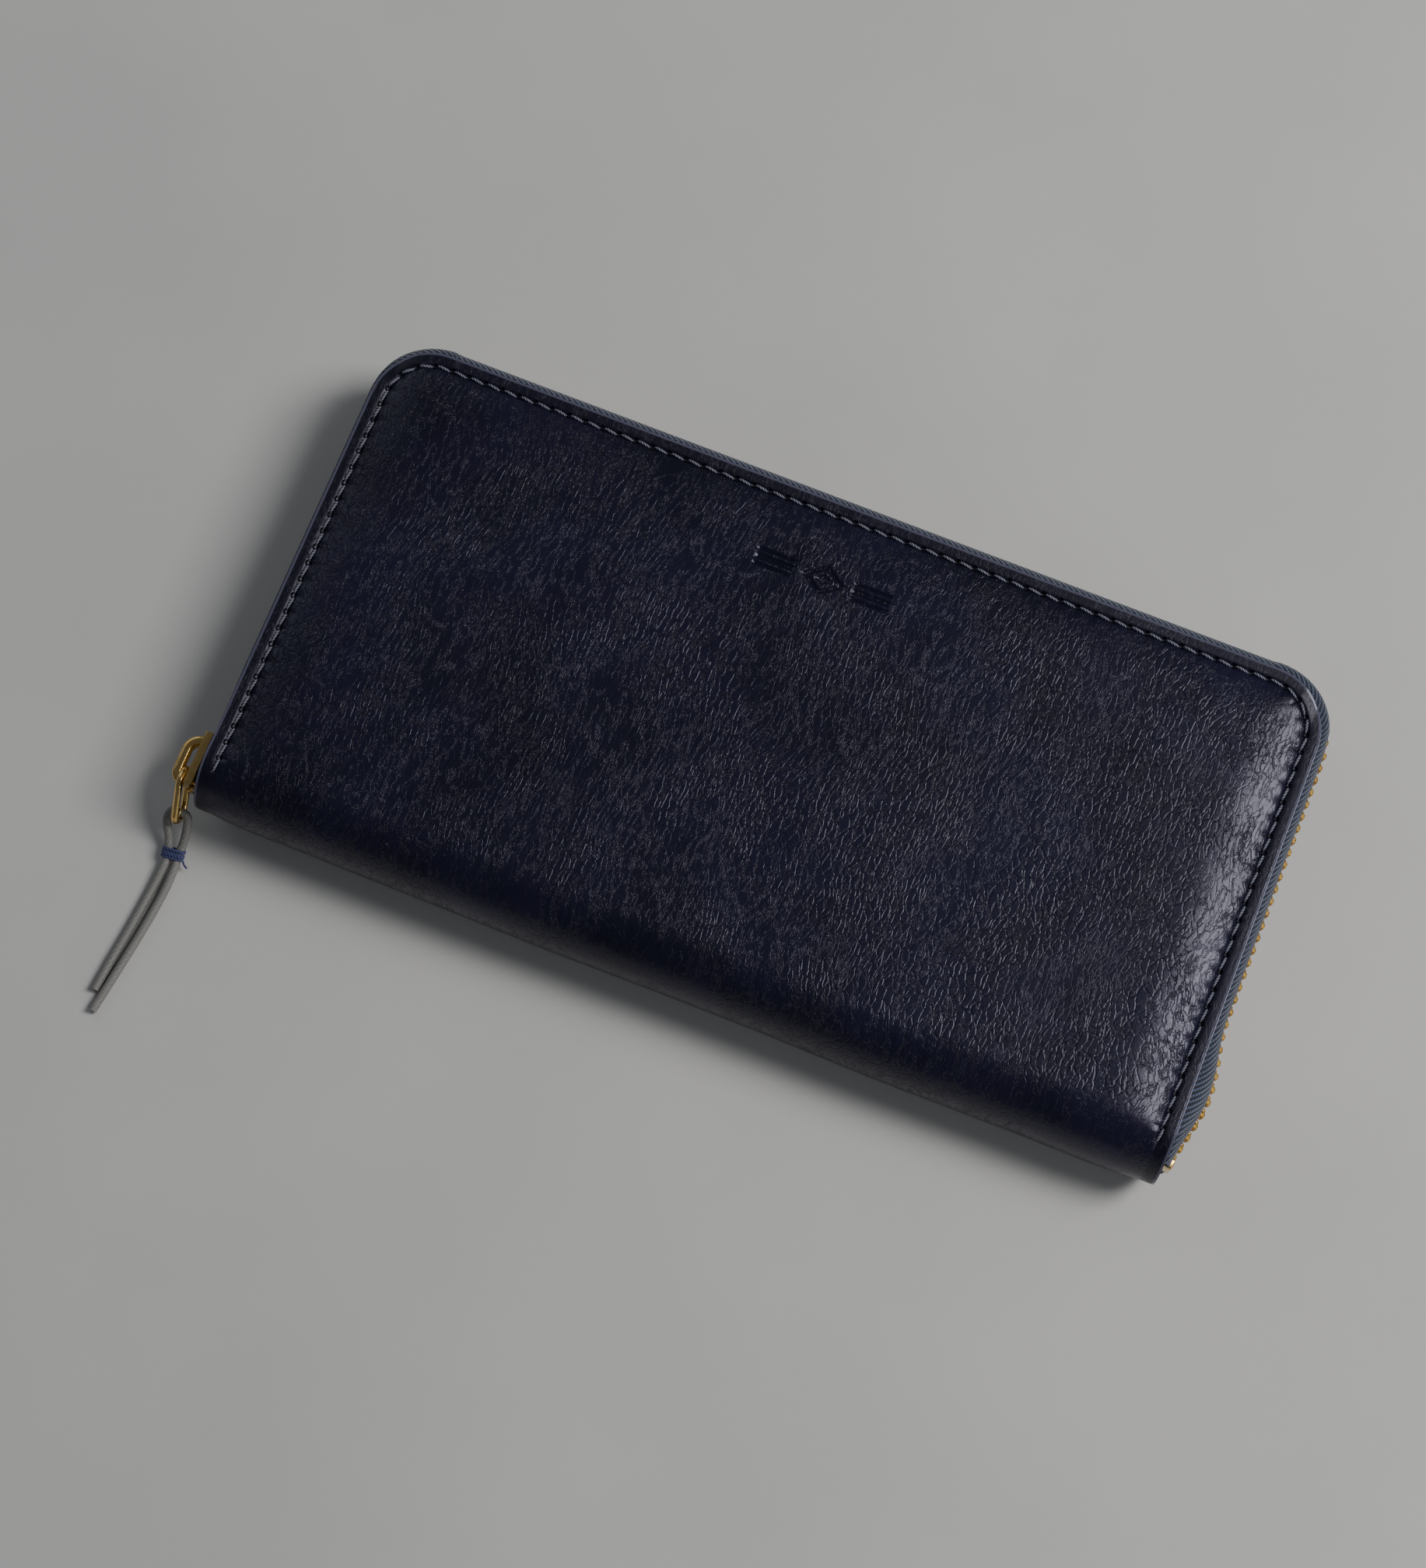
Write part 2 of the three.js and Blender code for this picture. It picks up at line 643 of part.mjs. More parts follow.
function coinRow(phase) {
  const y0 = coinY - coinToothDeep / 2;
  const y1 = coinY + coinToothDeep / 2;
  const pieces = [block(-coinZipHalf, coinZipHalf, y0, y1, coinToothZ, coinToothZ + coinBeadHigh)];
  for (let x = -coinZipHalf + coinToothWide + phase * coinToothPitch;
    x < coinZipHalf - coinToothWide; x += coinToothPitch) {
    pieces.push(block(x - coinToothWide / 2, x + coinToothWide / 2, y0, y1, coinToothZ, coinToothZ + coinToothReach));
  }
  return join(pieces);
}

part('pocket_teeth_back', coinRow(0), brass());
part('pocket_teeth_front', flipOver(coinRow(0.5)), brass());

const coinSliderX0 = -coinZipHalf - coinSliderOverhang;
const coinSliderX1 = coinSliderX0 + coinSliderLong;
const coinChannel = coinToothDeep / 2 + gap;
const coinWedgeHalf = middleZ - coinToothZ - coinBeadHigh - gap / 2;
const coinPlateHalf = middleZ - coinToothZ + gap;
const coinPinY = coinY + coinChannel + coinSliderPlate + coinLug;

part('pocket_slider', join([
  block(coinSliderX0, coinSliderX1, coinY + coinChannel, coinY + coinChannel + coinSliderPlate,
    middleZ - coinPlateHalf, middleZ + coinPlateHalf),
  block(coinSliderX0, coinSliderX1, coinY - coinChannel, coinY - coinChannel - coinSliderPlate,
    middleZ - coinWedgeHalf * 2, middleZ + coinWedgeHalf * 2),
  block(coinSliderX0, coinSliderX0 + coinWedge, coinY - coinChannel - coinSliderPlate, coinPinY,
    middleZ - coinWedgeHalf, middleZ + coinWedgeHalf),
  block(coinSliderX0, coinSliderX0 + coinWedge, coinPinY - coinSliderPlate, coinPinY + coinSliderPlate,
    middleZ - coinPinHalf, middleZ + coinPinHalf),
]), brass());

// The pull lies along the zip, with two arms that reach round the slider's cross pin.
function coinPull() {
  const pinHalf = coinPinHalf + gap;
  const x0 = coinSliderX0 + coinWedge + gap;
  const tab = block(x0, coinSliderX0 + coinPullLong, coinPinY - coinPullWall / 2, coinPinY + coinPullWall / 2,
    middleZ - coinPullWide / 2, middleZ + coinPullWide / 2);
  const eye = block(x0 + coinPullLong / 2, coinSliderX0 + coinPullLong - coinPullBar,
    coinPinY - coinPullWall, coinPinY + coinPullWall,
    middleZ - coinPullWide / 2 + coinPullBar, middleZ + coinPullWide / 2 - coinPullBar);
  const arms = [-1, 1].map((sign) => block(coinSliderX0, x0 + coinPullWall,
    coinPinY - coinPullWall / 2, coinPinY + coinPullWall / 2,
    middleZ + sign * pinHalf, middleZ + sign * (pinHalf + coinPullBar / 2)));
  const yoke = block(x0, x0 + coinPullWall, coinPinY - coinPullWall / 2, coinPinY + coinPullWall / 2,
    middleZ - pinHalf - coinPullBar / 2, middleZ + pinHalf + coinPullBar / 2);
  return cut(join([tab, yoke, ...arms]), [eye]);
}

part('pocket_pull', coinPull(), brass());

// ---------------------------------------------------------------- folded gussets at both ends

// One V fold between a cover's lining and the coin pocket, its point towards the middle.
function gusset(sign) {
  const low = insideZ + gap;
  const high = pocketZ - gap;
  const mid = (low + high) / 2;
  const outer = pocketHalfWidth;
  const point = pocketHalfWidth - gussetFold;
  const stations = [
    { x: 0, y: foldY + gussetSetback, nx: sign, ny: 0 },
    { x: 0, y: pocketMouthY - gussetMouthSetback, nx: sign, ny: 0 },
  ];
  return sweep([
    [outer, low], [outer, low + gussetWall], [point + gussetSlack, mid],
    [outer, high - gussetWall], [outer, high], [point, mid],
  ], stations);
}

for (const [side, sign] of [['left', -1], ['right', 1]]) {
  part(`gusset_back_${side}`, gusset(sign), innerLeather());
  part(`gusset_front_${side}`, flipOver(gusset(sign)), innerLeather());
}

export default wallet;
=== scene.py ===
import math

import bpy
from mathutils import Matrix, Vector, noise


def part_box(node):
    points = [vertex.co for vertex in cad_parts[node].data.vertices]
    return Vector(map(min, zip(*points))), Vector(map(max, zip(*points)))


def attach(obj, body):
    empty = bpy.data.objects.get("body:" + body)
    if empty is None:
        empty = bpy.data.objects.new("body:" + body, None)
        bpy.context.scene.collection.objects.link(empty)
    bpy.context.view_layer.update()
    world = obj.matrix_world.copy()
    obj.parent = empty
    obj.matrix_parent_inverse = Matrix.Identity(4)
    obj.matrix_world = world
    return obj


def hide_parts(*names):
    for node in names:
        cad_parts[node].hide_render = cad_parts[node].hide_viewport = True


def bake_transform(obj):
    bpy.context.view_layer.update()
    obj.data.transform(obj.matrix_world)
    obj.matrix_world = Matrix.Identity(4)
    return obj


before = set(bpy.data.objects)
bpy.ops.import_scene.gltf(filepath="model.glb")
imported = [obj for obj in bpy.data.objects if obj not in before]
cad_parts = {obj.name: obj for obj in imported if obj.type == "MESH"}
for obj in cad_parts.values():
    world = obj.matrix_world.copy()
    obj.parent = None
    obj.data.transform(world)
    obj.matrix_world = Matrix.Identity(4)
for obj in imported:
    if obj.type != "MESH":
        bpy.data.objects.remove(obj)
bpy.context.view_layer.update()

mm = 0.001


# ---------------------------------------------------------------- camera, table and light
# The wallet lies on a pale table under a broad window-like light from behind the right end,
# with a weaker fill from the left, and is seen from above its spine.

camera_data = bpy.data.cameras.new("camera")
camera_data.lens = 75
camera_data.sensor_width = 36
camera_data.clip_start = 0.01
camera = bpy.data.objects.new("camera", camera_data)
bpy.context.collection.objects.link(camera)
bpy.context.scene.camera = camera

camera_turn = math.radians(21.8)
camera_height = math.radians(75.3)
camera_aim = Vector((-7.3, -8.2, 10)) * mm
camera_back = Vector((
    math.sin(camera_turn) * math.cos(camera_height),
    -math.cos(camera_turn) * math.cos(camera_height),
    math.sin(camera_height),
))
camera_distance = 628.3 * mm
camera.location = camera_aim + camera_back * camera_distance
camera.rotation_mode = "QUATERNION"
camera.rotation_quaternion = (-camera_back).to_track_quat("-Z", "Y")


class Flow:
    """One socket of a material's nodes, so that sums on it can be written as sums."""

    def __init__(self, tree, socket):
        self.tree = tree
        self.socket = socket

    def add(self, kind, settings=None, inputs=None, output=0):
        node = self.tree.nodes.new(kind)
        for key, value in (settings or {}).items():
            setattr(node, key, value)
        for key, value in (inputs or {}).items():
            if isinstance(value, Flow):
                self.tree.links.new(value.socket, node.inputs[key])
            else:
                node.inputs[key].default_value = value
        return Flow(self.tree, node.outputs[output])

    def maths(self, operation, *values):
        return self.add("ShaderNodeMath", {"operation": operation}, dict(enumerate(values)))

    def sine(self):
        return self.maths("SINE", self)

    def size(self):
        return self.maths("ABSOLUTE", self)

    def part(self, axis):
        """The x (0) or y (1) of a place."""
        return self.add("ShaderNodeSeparateXYZ", None, {0: self}, axis)

    def drawn(self, scale, turn=0.0):
        """A place turned by some degrees and scaled along each axis."""
        return self.add("ShaderNodeMapping", None, {
            "Vector": self, "Rotation": (0, 0, math.radians(turn)), "Scale": scale})

    def clouds(self, scale, detail, roughness=0.5, output=0):
        return self.add("ShaderNodeTexNoise", None, {
            "Vector": self, "Scale": scale, "Detail": detail, "Roughness": roughness}, output)

    def cell_walls(self, scale):
        """How far a place is from the walls of scattered cells."""
        return self.add("ShaderNodeTexVoronoi", {"feature": "DISTANCE_TO_EDGE"},
                        {"Vector": self, "Scale": scale})

    def __add__(self, other):
        return self.maths("ADD", self, other)

    def __radd__(self, other):
        return self.maths("ADD", other, self)

    def __sub__(self, other):
        return self.maths("SUBTRACT", self, other)

    def __rsub__(self, other):
        return self.maths("SUBTRACT", other, self)

    def __mul__(self, other):
        return self.maths("MULTIPLY", self, other)

    def __truediv__(self, other):
        return self.maths("DIVIDE", self, other)

    def __pow__(self, other):
        return self.maths("POWER", self, other)

    def between(self, low, high):
        """0 below low, 1 above high, with a soft step."""
        return self.add("ShaderNodeMapRange", {"interpolation_type": "SMOOTHSTEP"},
                        {0: self, 1: low, 2: high})

    def mix(self, first, second):
        """first where this mask is 0, second where it is 1."""
        return self.add("ShaderNodeMix", {"data_type": "RGBA"}, {0: self, 6: first, 7: second}, 2)

    def bump(self, distance, strength=1.0):
        return self.add("ShaderNodeBump", None, {
            "Height": self, "Distance": distance, "Strength": strength})


def new_material(name, map_name=None):
    """A material, its shader, and the place its patterns start from: on a map, or in the object."""
    material = bpy.data.materials.new(name)
    material.use_nodes = True
    tree = material.node_tree
    start = Flow(tree, None)
    if map_name:
        place = start.add("ShaderNodeUVMap", {"uv_map": map_name})
    else:
        place = start.add("ShaderNodeTexCoord", output=3)
    return material, tree.nodes["Principled BSDF"], place


def feed(shader, **sockets):
    """Sets or links the shader's sockets; an underscore stands for a space."""
    for key, value in sockets.items():
        socket = shader.inputs[key.replace("_", " ")]
        if isinstance(value, Flow):
            shader.id_data.links.new(value.socket, socket)
        else:
            socket.default_value = value


table_material, table_shader, table_place = new_material("table")
table_cloud = table_place.clouds(14, 5).between(0.2, 0.8)
feed(table_shader, Roughness=0.75,
     Base_Color=table_cloud.mix((0.60, 0.60, 0.59, 1), (0.66, 0.655, 0.64, 1)))
bpy.ops.mesh.primitive_plane_add(size=6, location=(0, 0, -0.05 * mm))
table = bpy.context.object
table.name = "table_top"
table.data.materials.append(table_material)


def soft_light(name, place, size, power, colour):
    """A light panel, wide by high, that faces the wallet."""
    data = bpy.data.lights.new(name, "AREA")
    data.shape = "RECTANGLE"
    data.size, data.size_y = size
    data.energy = power
    data.color = colour
    light = bpy.data.objects.new(name, data)
    bpy.context.collection.objects.link(light)
    light.location = place
    light.rotation_mode = "QUATERNION"
    light.rotation_quaternion = (-Vector(place)).to_track_quat("-Z", "Y")


soft_light("window_light", (0.58, 0.27, 0.83), (0.34, 0.5), 7.5, (1.0, 0.985, 0.96))
soft_light("fill_light", (-0.8, 0.5, 0.6), (0.7, 0.7), 1.1, (0.92, 0.96, 1.0))
soft_light("low_light", (0.75, -0.35, 0.22), (0.5, 0.16), 0.9, (1.0, 0.99, 0.97))
world = bpy.data.worlds.new("room")
world.use_nodes = True
room_light = world.node_tree.nodes["Background"].inputs
room_light["Color"].default_value = (0.85, 0.90, 1.0, 1)
room_light["Strength"].default_value = 0.11
bpy.context.scene.world = world


# ---------------------------------------------------------------- pull cord
# A round waxed cotton cord, doubled through the link and cut square at both ends. Each half runs
# from the fold in the link, past the whipping, to its tail on the table.

cord_thick = 1.7 * mm
cord_left_route = [
    (-101.35, -50.7, 6.9), (-102.6, -51.05, 6.6), (-103.15, -52.7, 5.2), (-101.8, -55.6, 3.1),
    (-101.1, -57.9, 2.1), (-100.8, -60.5, 1.6), (-101.2, -66.0, 1.05), (-101.9, -74.0, 0.95),
    (-102.7, -81.5, 0.95), (-103.3, -88.0, 0.95),
]
cord_right_route = [
    (-100.65, -50.7, 6.9), (-99.4, -51.05, 6.6), (-98.85, -52.7, 5.2), (-98.75, -55.6, 3.1),
    (-98.9, -57.9, 2.1), (-98.7, -60.5, 1.6), (-98.8, -66.0, 1.05), (-99.6, -74.5, 0.95),
    (-100.8, -83.5, 0.95), (-102.0, -91.9, 0.95),
]


def smooth_line(points, steps):
    """A smooth curve through the points, with some steps between each two."""
    knots = [Vector(p) * mm for p in points]
    knots = [2 * knots[0] - knots[1], *knots, 2 * knots[-1] - knots[-2]]
    line = []
    for a, b, c, d in zip(knots, knots[1:], knots[2:], knots[3:]):
        for i in range(steps):
            t = i / steps
            line.append(0.5 * (2 * b + (c - a) * t + (2 * a - 5 * b + 4 * c - d) * t ** 2
                               + (3 * b - a - 3 * c + d) * t ** 3))
    line.append(knots[-2].copy())
    return line


def length_of(line):
    return sum((b - a).length for a, b in zip(line, line[1:]))


def only(piece):
    """Makes one piece the only selected and active one."""
    bpy.ops.object.select_all(action="DESELECT")
    piece.select_set(True)
    bpy.context.view_layer.objects.active = piece


def laid_grid(name, columns, rows, place_of, map_of, map_name):
    """A grid with its crossings at place_of(column, row), and map_of(column, row) as its map."""
    bpy.ops.mesh.primitive_grid_add(x_subdivisions=columns - 1, y_subdivisions=rows - 1, size=1)
    piece = bpy.context.object
    piece.name = name
    piece.data.name = name
    while piece.data.uv_layers:
        piece.data.uv_layers.remove(piece.data.uv_layers[0])
    crossings = [(round((point.co.x + 0.5) * (columns - 1)),
                  round((point.co.y + 0.5) * (rows - 1))) for point in piece.data.vertices]
    for point, crossing in zip(piece.data.vertices, crossings):
        point.co = place_of(*crossing)
    layer = piece.data.uv_layers.new(name=map_name)
    for loop in piece.data.loops:
        layer.data[loop.index].uv = map_of(*crossings[loop.vertex_index])
    return piece


def outward_faces(piece):
    """Turns every face outwards."""
    only(piece)
    bpy.ops.object.mode_set(mode="EDIT")
    bpy.ops.mesh.select_all(action="SELECT")
    bpy.ops.mesh.normals_make_consistent(inside=False)
    bpy.ops.object.mode_set(mode="OBJECT")


def smooth(piece, over):
    """Smooth shading, with edges sharper than this many degrees left sharp."""
    only(piece)
    bpy.ops.object.shade_smooth_by_angle(angle=math.radians(over))


def bar_along(name, line, half_wide, half_high, sides, up=Vector((0, 0, 1)), swell=None, square=1.0):
    """A round or oval bar along a line, mapped by its length and its girth in millimetres: a grid
    rolled up, with its seam merged and its ends closed. A square under 1 flattens its four sides."""
    frames = []
    reach = 0.0
    for i, place in enumerate(line):
        ahead = (line[min(i + 1, len(line) - 1)] - line[max(i - 1, 0)]).normalized()
        side = ahead.cross(up).normalized()
        if i:
            reach += (place - line[i - 1]).length
        grow = swell(i / (len(line) - 1)) if swell else 1
        frames.append((place, side * grow, side.cross(ahead) * grow, reach / mm))
    girth = math.pi * (half_wide + half_high) / mm

    def place_of(i, k):
        place, side, top, _ = frames[i]
        angle = 2 * math.pi * k / sides
        across = math.copysign(abs(math.cos(angle)) ** square, math.cos(angle))
        upright = math.copysign(abs(math.sin(angle)) ** square, math.sin(angle))
        return place + side * half_wide * across + top * half_high * upright

    piece = laid_grid(name, len(line), sides + 1, place_of,
                      lambda i, k: (frames[i][3], girth * k / sides), "Length")
    bpy.ops.object.mode_set(mode="EDIT")
    bpy.ops.mesh.select_all(action="SELECT")
    bpy.ops.mesh.remove_doubles(threshold=0.001 * mm)
    bpy.ops.mesh.select_all(action="DESELECT")
    bpy.ops.mesh.select_mode(type="EDGE")
    bpy.ops.mesh.select_non_manifold()
    bpy.ops.mesh.fill_holes(sides=0)
    bpy.ops.mesh.select_mode(type="VERT")
    bpy.ops.object.mode_set(mode="OBJECT")
    outward_faces(piece)
    smooth(piece, 50)
    return piece


def waxed_cord():
    """Grey waxed cotton: fine strands on a slant under the wax, a few hairs and worn darker places."""
    material, shader, place = new_material("waxed_cord", "Length")
    slant = (place.part(0) * 0.75 + place.part(1) * 1.1236) * (2 * math.pi)
    strand = slant.sine() * 0.5 + 0.5
    fluff = place.drawn((1.2, 7.0, 1)).clouds(1.5, 4)
    grime = place.clouds(0.3, 3)
    tone = strand * 0.12 + fluff * 0.9
    shade = tone.between(0.25, 0.9).mix((0.15, 0.148, 0.14, 1), (0.33, 0.325, 0.31, 1))
    worn = (grime.between(0.45, 0.7) * 0.45).mix(shade, (0.20, 0.196, 0.185, 1))
    feed(shader, Base_Color=worn, Roughness=0.48, Normal=(strand * 0.35 + fluff).bump(0.04 * mm))
    feed(shader, Specular_IOR_Level=0.45)
    return material


def finish_piece(piece, material, slot_name):
    """Gives the piece one material. Its slot_name, the slot this finish belongs to, is not used."""
    piece.data.materials.clear()
    piece.data.materials.append(material)
    return piece


cord_finish = waxed_cord()
cord_halves = []
for side, route in (("left", cord_left_route), ("right", cord_right_route)):
    line = smooth_line(route, 4)
    half = bar_along(f"pull_cord_half_{side}", line, cord_thick / 2, cord_thick / 2, 20)
    finish_piece(half, cord_finish, "cord")
    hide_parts(f"pull_cord_{side}")
    cord_halves.append((half, line))


# ---------------------------------------------------------------- whipping on the cord
# Blue twisted thread wound round both strands just below the link, its ends pulled under.

whipping_turns = 6
thread_thick = 0.42 * mm


def twisted_thread(name, low, high):
    """Two-ply thread: a slanting ply line along its length, with a soft sheen."""
    material, shader, place = new_material(name, "Length")
    slant = (place.part(0) * 1.6 + place.part(1) * 1.5) * (2 * math.pi)
    ply = slant.sine() * 0.5 + 0.5
    hair = place.clouds(9, 3)
    feed(shader, Base_Color=(ply * 0.7 + hair * 0.4).between(0.1, 0.9).mix(low, high))
    feed(shader, Roughness=0.55, Normal=(ply + hair * 0.3).bump(0.08 * mm))
    feed(shader, Sheen_Weight=0.2, Sheen_Roughness=0.4)
    return material


whipping_before, whipping_middle, whipping_after = [
    (Vector(left) + Vector(right)) * mm / 2
    for left, right in zip(cord_left_route[3:6], cord_right_route[3:6])]
whipping_down = (whipping_after - whipping_before).normalized()
whipping_across = (Vector(cord_right_route[4]) - Vector(cord_left_route[4])) * mm
whipping_spread = whipping_across.length
whipping_facing = whipping_across.cross(whipping_down).normalized()
whipping_wide = whipping_down.cross(whipping_facing).normalized()


def whipping_line():
    """The thread's line: turns round both strands that sway a little, then its loose end."""
    line = []
    reach = cord_thick / 2 + thread_thick / 2
    pitch = thread_thick * 0.92
    steps = 28
    for i in range(whipping_turns * steps + 1):
        angle = 2 * math.pi * i / steps
        sway = 0.12 * mm * math.sin(angle * 0.37 + 1)
        along = (i / (whipping_turns * steps) - 0.5) * (whipping_turns - 1) * pitch + sway
        strand = math.copysign(whipping_spread / 2, math.cos(angle))
        out = math.cos(angle) * reach + strand * min(1, abs(math.cos(angle)) * 4)
        line.append(whipping_middle + whipping_wide * out + whipping_facing * math.sin(angle) * reach
                    + whipping_down * along)
    tail = line[-1] + whipping_wide * 0.5 * mm + whipping_down * 0.7 * mm - whipping_facing * 0.1 * mm
    line += [line[-1].lerp(tail, 0.5), tail, tail + whipping_wide * 0.7 * mm + whipping_down * 0.5 * mm]
    return line


whipping = bar_along("cord_whipping_thread", whipping_line(), thread_thick / 2, thread_thick / 2, 8,
                     up=whipping_down)
blue_thread = twisted_thread("whipping_thread", (0.014, 0.018, 0.07, 1), (0.07, 0.09, 0.26, 1))
finish_piece(whipping, blue_thread, "thread")
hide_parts("cord_whipping")

for index, (half, line) in enumerate(cord_halves):
    length_of(line)
    [whipping] if index == 0 else ()
    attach(half, "pull_cord")
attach(whipping, "pull_cord")


# ---------------------------------------------------------------- brass of the zip and its pull
# Polished brass, faintly lacquered, with fine rubbed scratches and darker patches at random.


def polished_brass(name, bright, dull, polish):
    material, shader, place = new_material(name)
    cloud = place.clouds(450, 3)
    scratch = place.drawn((900, 9000, 4000)).clouds(1, 2)
    feed(shader, Base_Color=cloud.between(0.35, 0.75).mix(bright, dull), Metallic=1.0)
    feed(shader, Roughness=polish + cloud.between(0.4, 0.8) * 0.16 + scratch * 0.05)
    feed(shader, Normal=scratch.bump(0.004 * mm, 0.4))
    return material


brass_finish = polished_brass("polished_brass", (0.80, 0.56, 0.22, 1), (0.62, 0.40, 0.13, 1), 0.14)
tooth_finish = polished_brass("tooth_brass", (0.62, 0.38, 0.09, 1), (0.36, 0.21, 0.05, 1), 0.26)


# ---------------------------------------------------------------- zip's line
# The zip follows the covers' edge a little outside it, closer on the left than on the right, and
# bows outwards before its right end.

cover_low, cover_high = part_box("front_leather")
half_long = cover_high.x
far_y = cover_high.y
top_z = cover_high.z
spine_low, spine_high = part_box("spine_leather")
fold_y = (spine_high.y + cover_low.y) / 2
spine_crown = fold_y - spine_low.y
middle_z = top_z / 2

zip_left_x = -half_long - 0.65 * mm
zip_right_x = half_long + 1.45 * mm
zip_top_y = far_y + 1.2 * mm
zip_corner = 12.925 * mm
zip_end_y = spine_low.y + 4 * mm
zip_bow_long = 30 * mm


def zip_line():
    """Points of the zip's middle, each with its outward direction, from the slider's end on."""
    line = []
    straight = zip_top_y - zip_corner - zip_end_y
    for i in range(60):
        line.append((Vector((zip_left_x, zip_end_y + straight * i / 60, 0)), Vector((-1, 0, 0))))
    corners = ((zip_left_x + zip_corner, math.pi), (zip_right_x - zip_corner, math.pi / 2))
    for index, (centre_x, start) in enumerate(corners):
        for i in range(25):
            angle = start - math.pi / 2 * i / 24
            out = Vector((math.cos(angle), math.sin(angle), 0))
            line.append((Vector((centre_x, zip_top_y - zip_corner, 0)) + out * zip_corner, out))
        if index == 0:
            for i in range(1, 140):
                x = corners[0][0] + (corners[1][0] - corners[0][0]) * i / 140
                line.append((Vector((x, zip_top_y, 0)), Vector((0, 1, 0))))
    bow_start = zip_end_y + zip_bow_long
    for i in range(1, 42):
        y = zip_top_y - zip_corner - (zip_top_y - zip_corner - bow_start) * i / 42
        line.append((Vector((zip_right_x, y, 0)), Vector((1, 0, 0))))

    def bow(t):
        return (1.9 * math.sin(math.pi * t) ** 2 - 0.75 * t ** 4) * mm

    for i in range(31):
        t = i / 30
        rise = (bow(t + 0.01) - bow(t - 0.01)) / (0.02 * zip_bow_long)
        line.append((Vector((zip_right_x + bow(t), bow_start - t * zip_bow_long, 0)),
                     Vector((1, rise, 0)).normalized()))
    return line


zip_points = zip_line()
zip_reach = [0.0]
for (a, _), (b, _) in zip(zip_points, zip_points[1:]):
    zip_reach.append(zip_reach[-1] + (b - a).length)
zip_long = zip_reach[-1]


def along_zip(distance):
    """The place and outward direction at a distance along the zip."""
    i = 1
    while i < len(zip_reach) - 1 and zip_reach[i] < distance:
        i += 1
    share = (distance - zip_reach[i - 1]) / (zip_reach[i] - zip_reach[i - 1])
    (p, n), (q, m) = zip_points[i - 1], zip_points[i]
    return p.lerp(q, share), n.lerp(m, share).normalized()


# ---------------------------------------------------------------- zip teeth
# Stamped brass teeth clamped over each tape's corded edge. The two rows stand half a pitch apart
# and mesh at mid height; each tooth has a cupped head, a neck and two legs round the cord.

tooth_pitch = 2.55 * mm
tooth_deep = 2.4 * mm
tooth_wide = 1.15 * mm
tooth_tip_z = middle_z + 0.7 * mm
tooth_reach = 3.6 * mm


def block(x0, x1, y0, y1, z0, z1):
    bpy.ops.mesh.primitive_cube_add(size=1)
    piece = bpy.context.object
    piece.data.transform(Matrix.Translation(((x0 + x1) / 2, (y0 + y1) / 2, (z0 + z1) / 2))
                         @ Matrix.Diagonal((x1 - x0, y1 - y0, z1 - z0, 1)))
    return piece


def cut_lines(piece, places, axis):
    """Adds a line round the piece at each place along an axis."""
    only(piece)
    bpy.ops.object.mode_set(mode="EDIT")
    for place in places:
        bpy.ops.mesh.select_all(action="SELECT")
        bpy.ops.mesh.bisect(plane_co=axis * place, plane_no=axis)
    bpy.ops.object.mode_set(mode="OBJECT")


def applied(piece, kind, **settings):
    """Gives the piece a modifier with these settings and applies it."""
    only(piece)
    modifier = piece.modifiers.new("step", kind)
    for key, value in settings.items():
        setattr(modifier, key, value)
    bpy.ops.object.modifier_apply(modifier="step")


def soften(piece, width, segments, over=30):
    """Rounds every edge that is sharper than some degrees."""
    applied(piece, "BEVEL", width=width, segments=segments, limit_method="ANGLE",
            angle_limit=math.radians(over))


def one_tooth():
    """A tooth of the back row, its legs down, standing on the ground with its middle at x = y = 0."""
    tooth = block(-tooth_deep / 2, tooth_deep / 2, -tooth_wide / 2, tooth_wide / 2, 0, tooth_reach)
    cut_lines(tooth, [tooth_reach * share for share in (0.35, 0.55, 0.75)], Vector((0, 0, 1)))
    for point in tooth.data.vertices:
        height = point.co.z / tooth_reach
        if 0.5 < height < 0.6:
            point.co.x *= 0.72
            point.co.y *= 0.8
        elif height > 0.9:
            point.co.x *= 0.7
            point.co.y *= 0.62
        elif height > 0.7:
            point.co.x *= 0.92
            point.co.y *= 0.85
        elif height < 0.1:
            point.co.y *= 0.9
    soften(tooth, 0.2 * mm, 1, 35)
    return tooth


def copied(sample, stand):
    """A copy of a piece with its own mesh, moved by a matrix."""
    copy = sample.copy()
    copy.data = sample.data.copy()
    copy.data.transform(stand)
    bpy.context.collection.objects.link(copy)
    return copy


def joined(name, pieces):
    """Several pieces as one."""
    only(pieces[0])
    for piece in pieces[1:]:
        piece.select_set(True)
    bpy.ops.object.join()
    pieces[0].name = name
    return pieces[0]


def tooth_row(name, tooth, first, flipped):
    """Copies of the tooth along the zip, joined as one row."""
    copies = []
    distance = first
    foot_z = top_z - tooth_tip_z + tooth_reach if flipped else tooth_tip_z - tooth_reach
    over = Matrix.Rotation(math.pi if flipped else 0, 4, "X")
    while distance < zip_long - 2.6 * mm:
        place, out = along_zip(distance)
        turn = Matrix.Rotation(math.atan2(out.y, out.x), 4, "Z")
        copies.append(copied(tooth, Matrix.Translation((place.x, place.y, foot_z)) @ turn @ over))
        distance += tooth_pitch
    row = joined(name, copies)
    smooth(row, 40)
    return finish_piece(row, tooth_finish, "teeth")


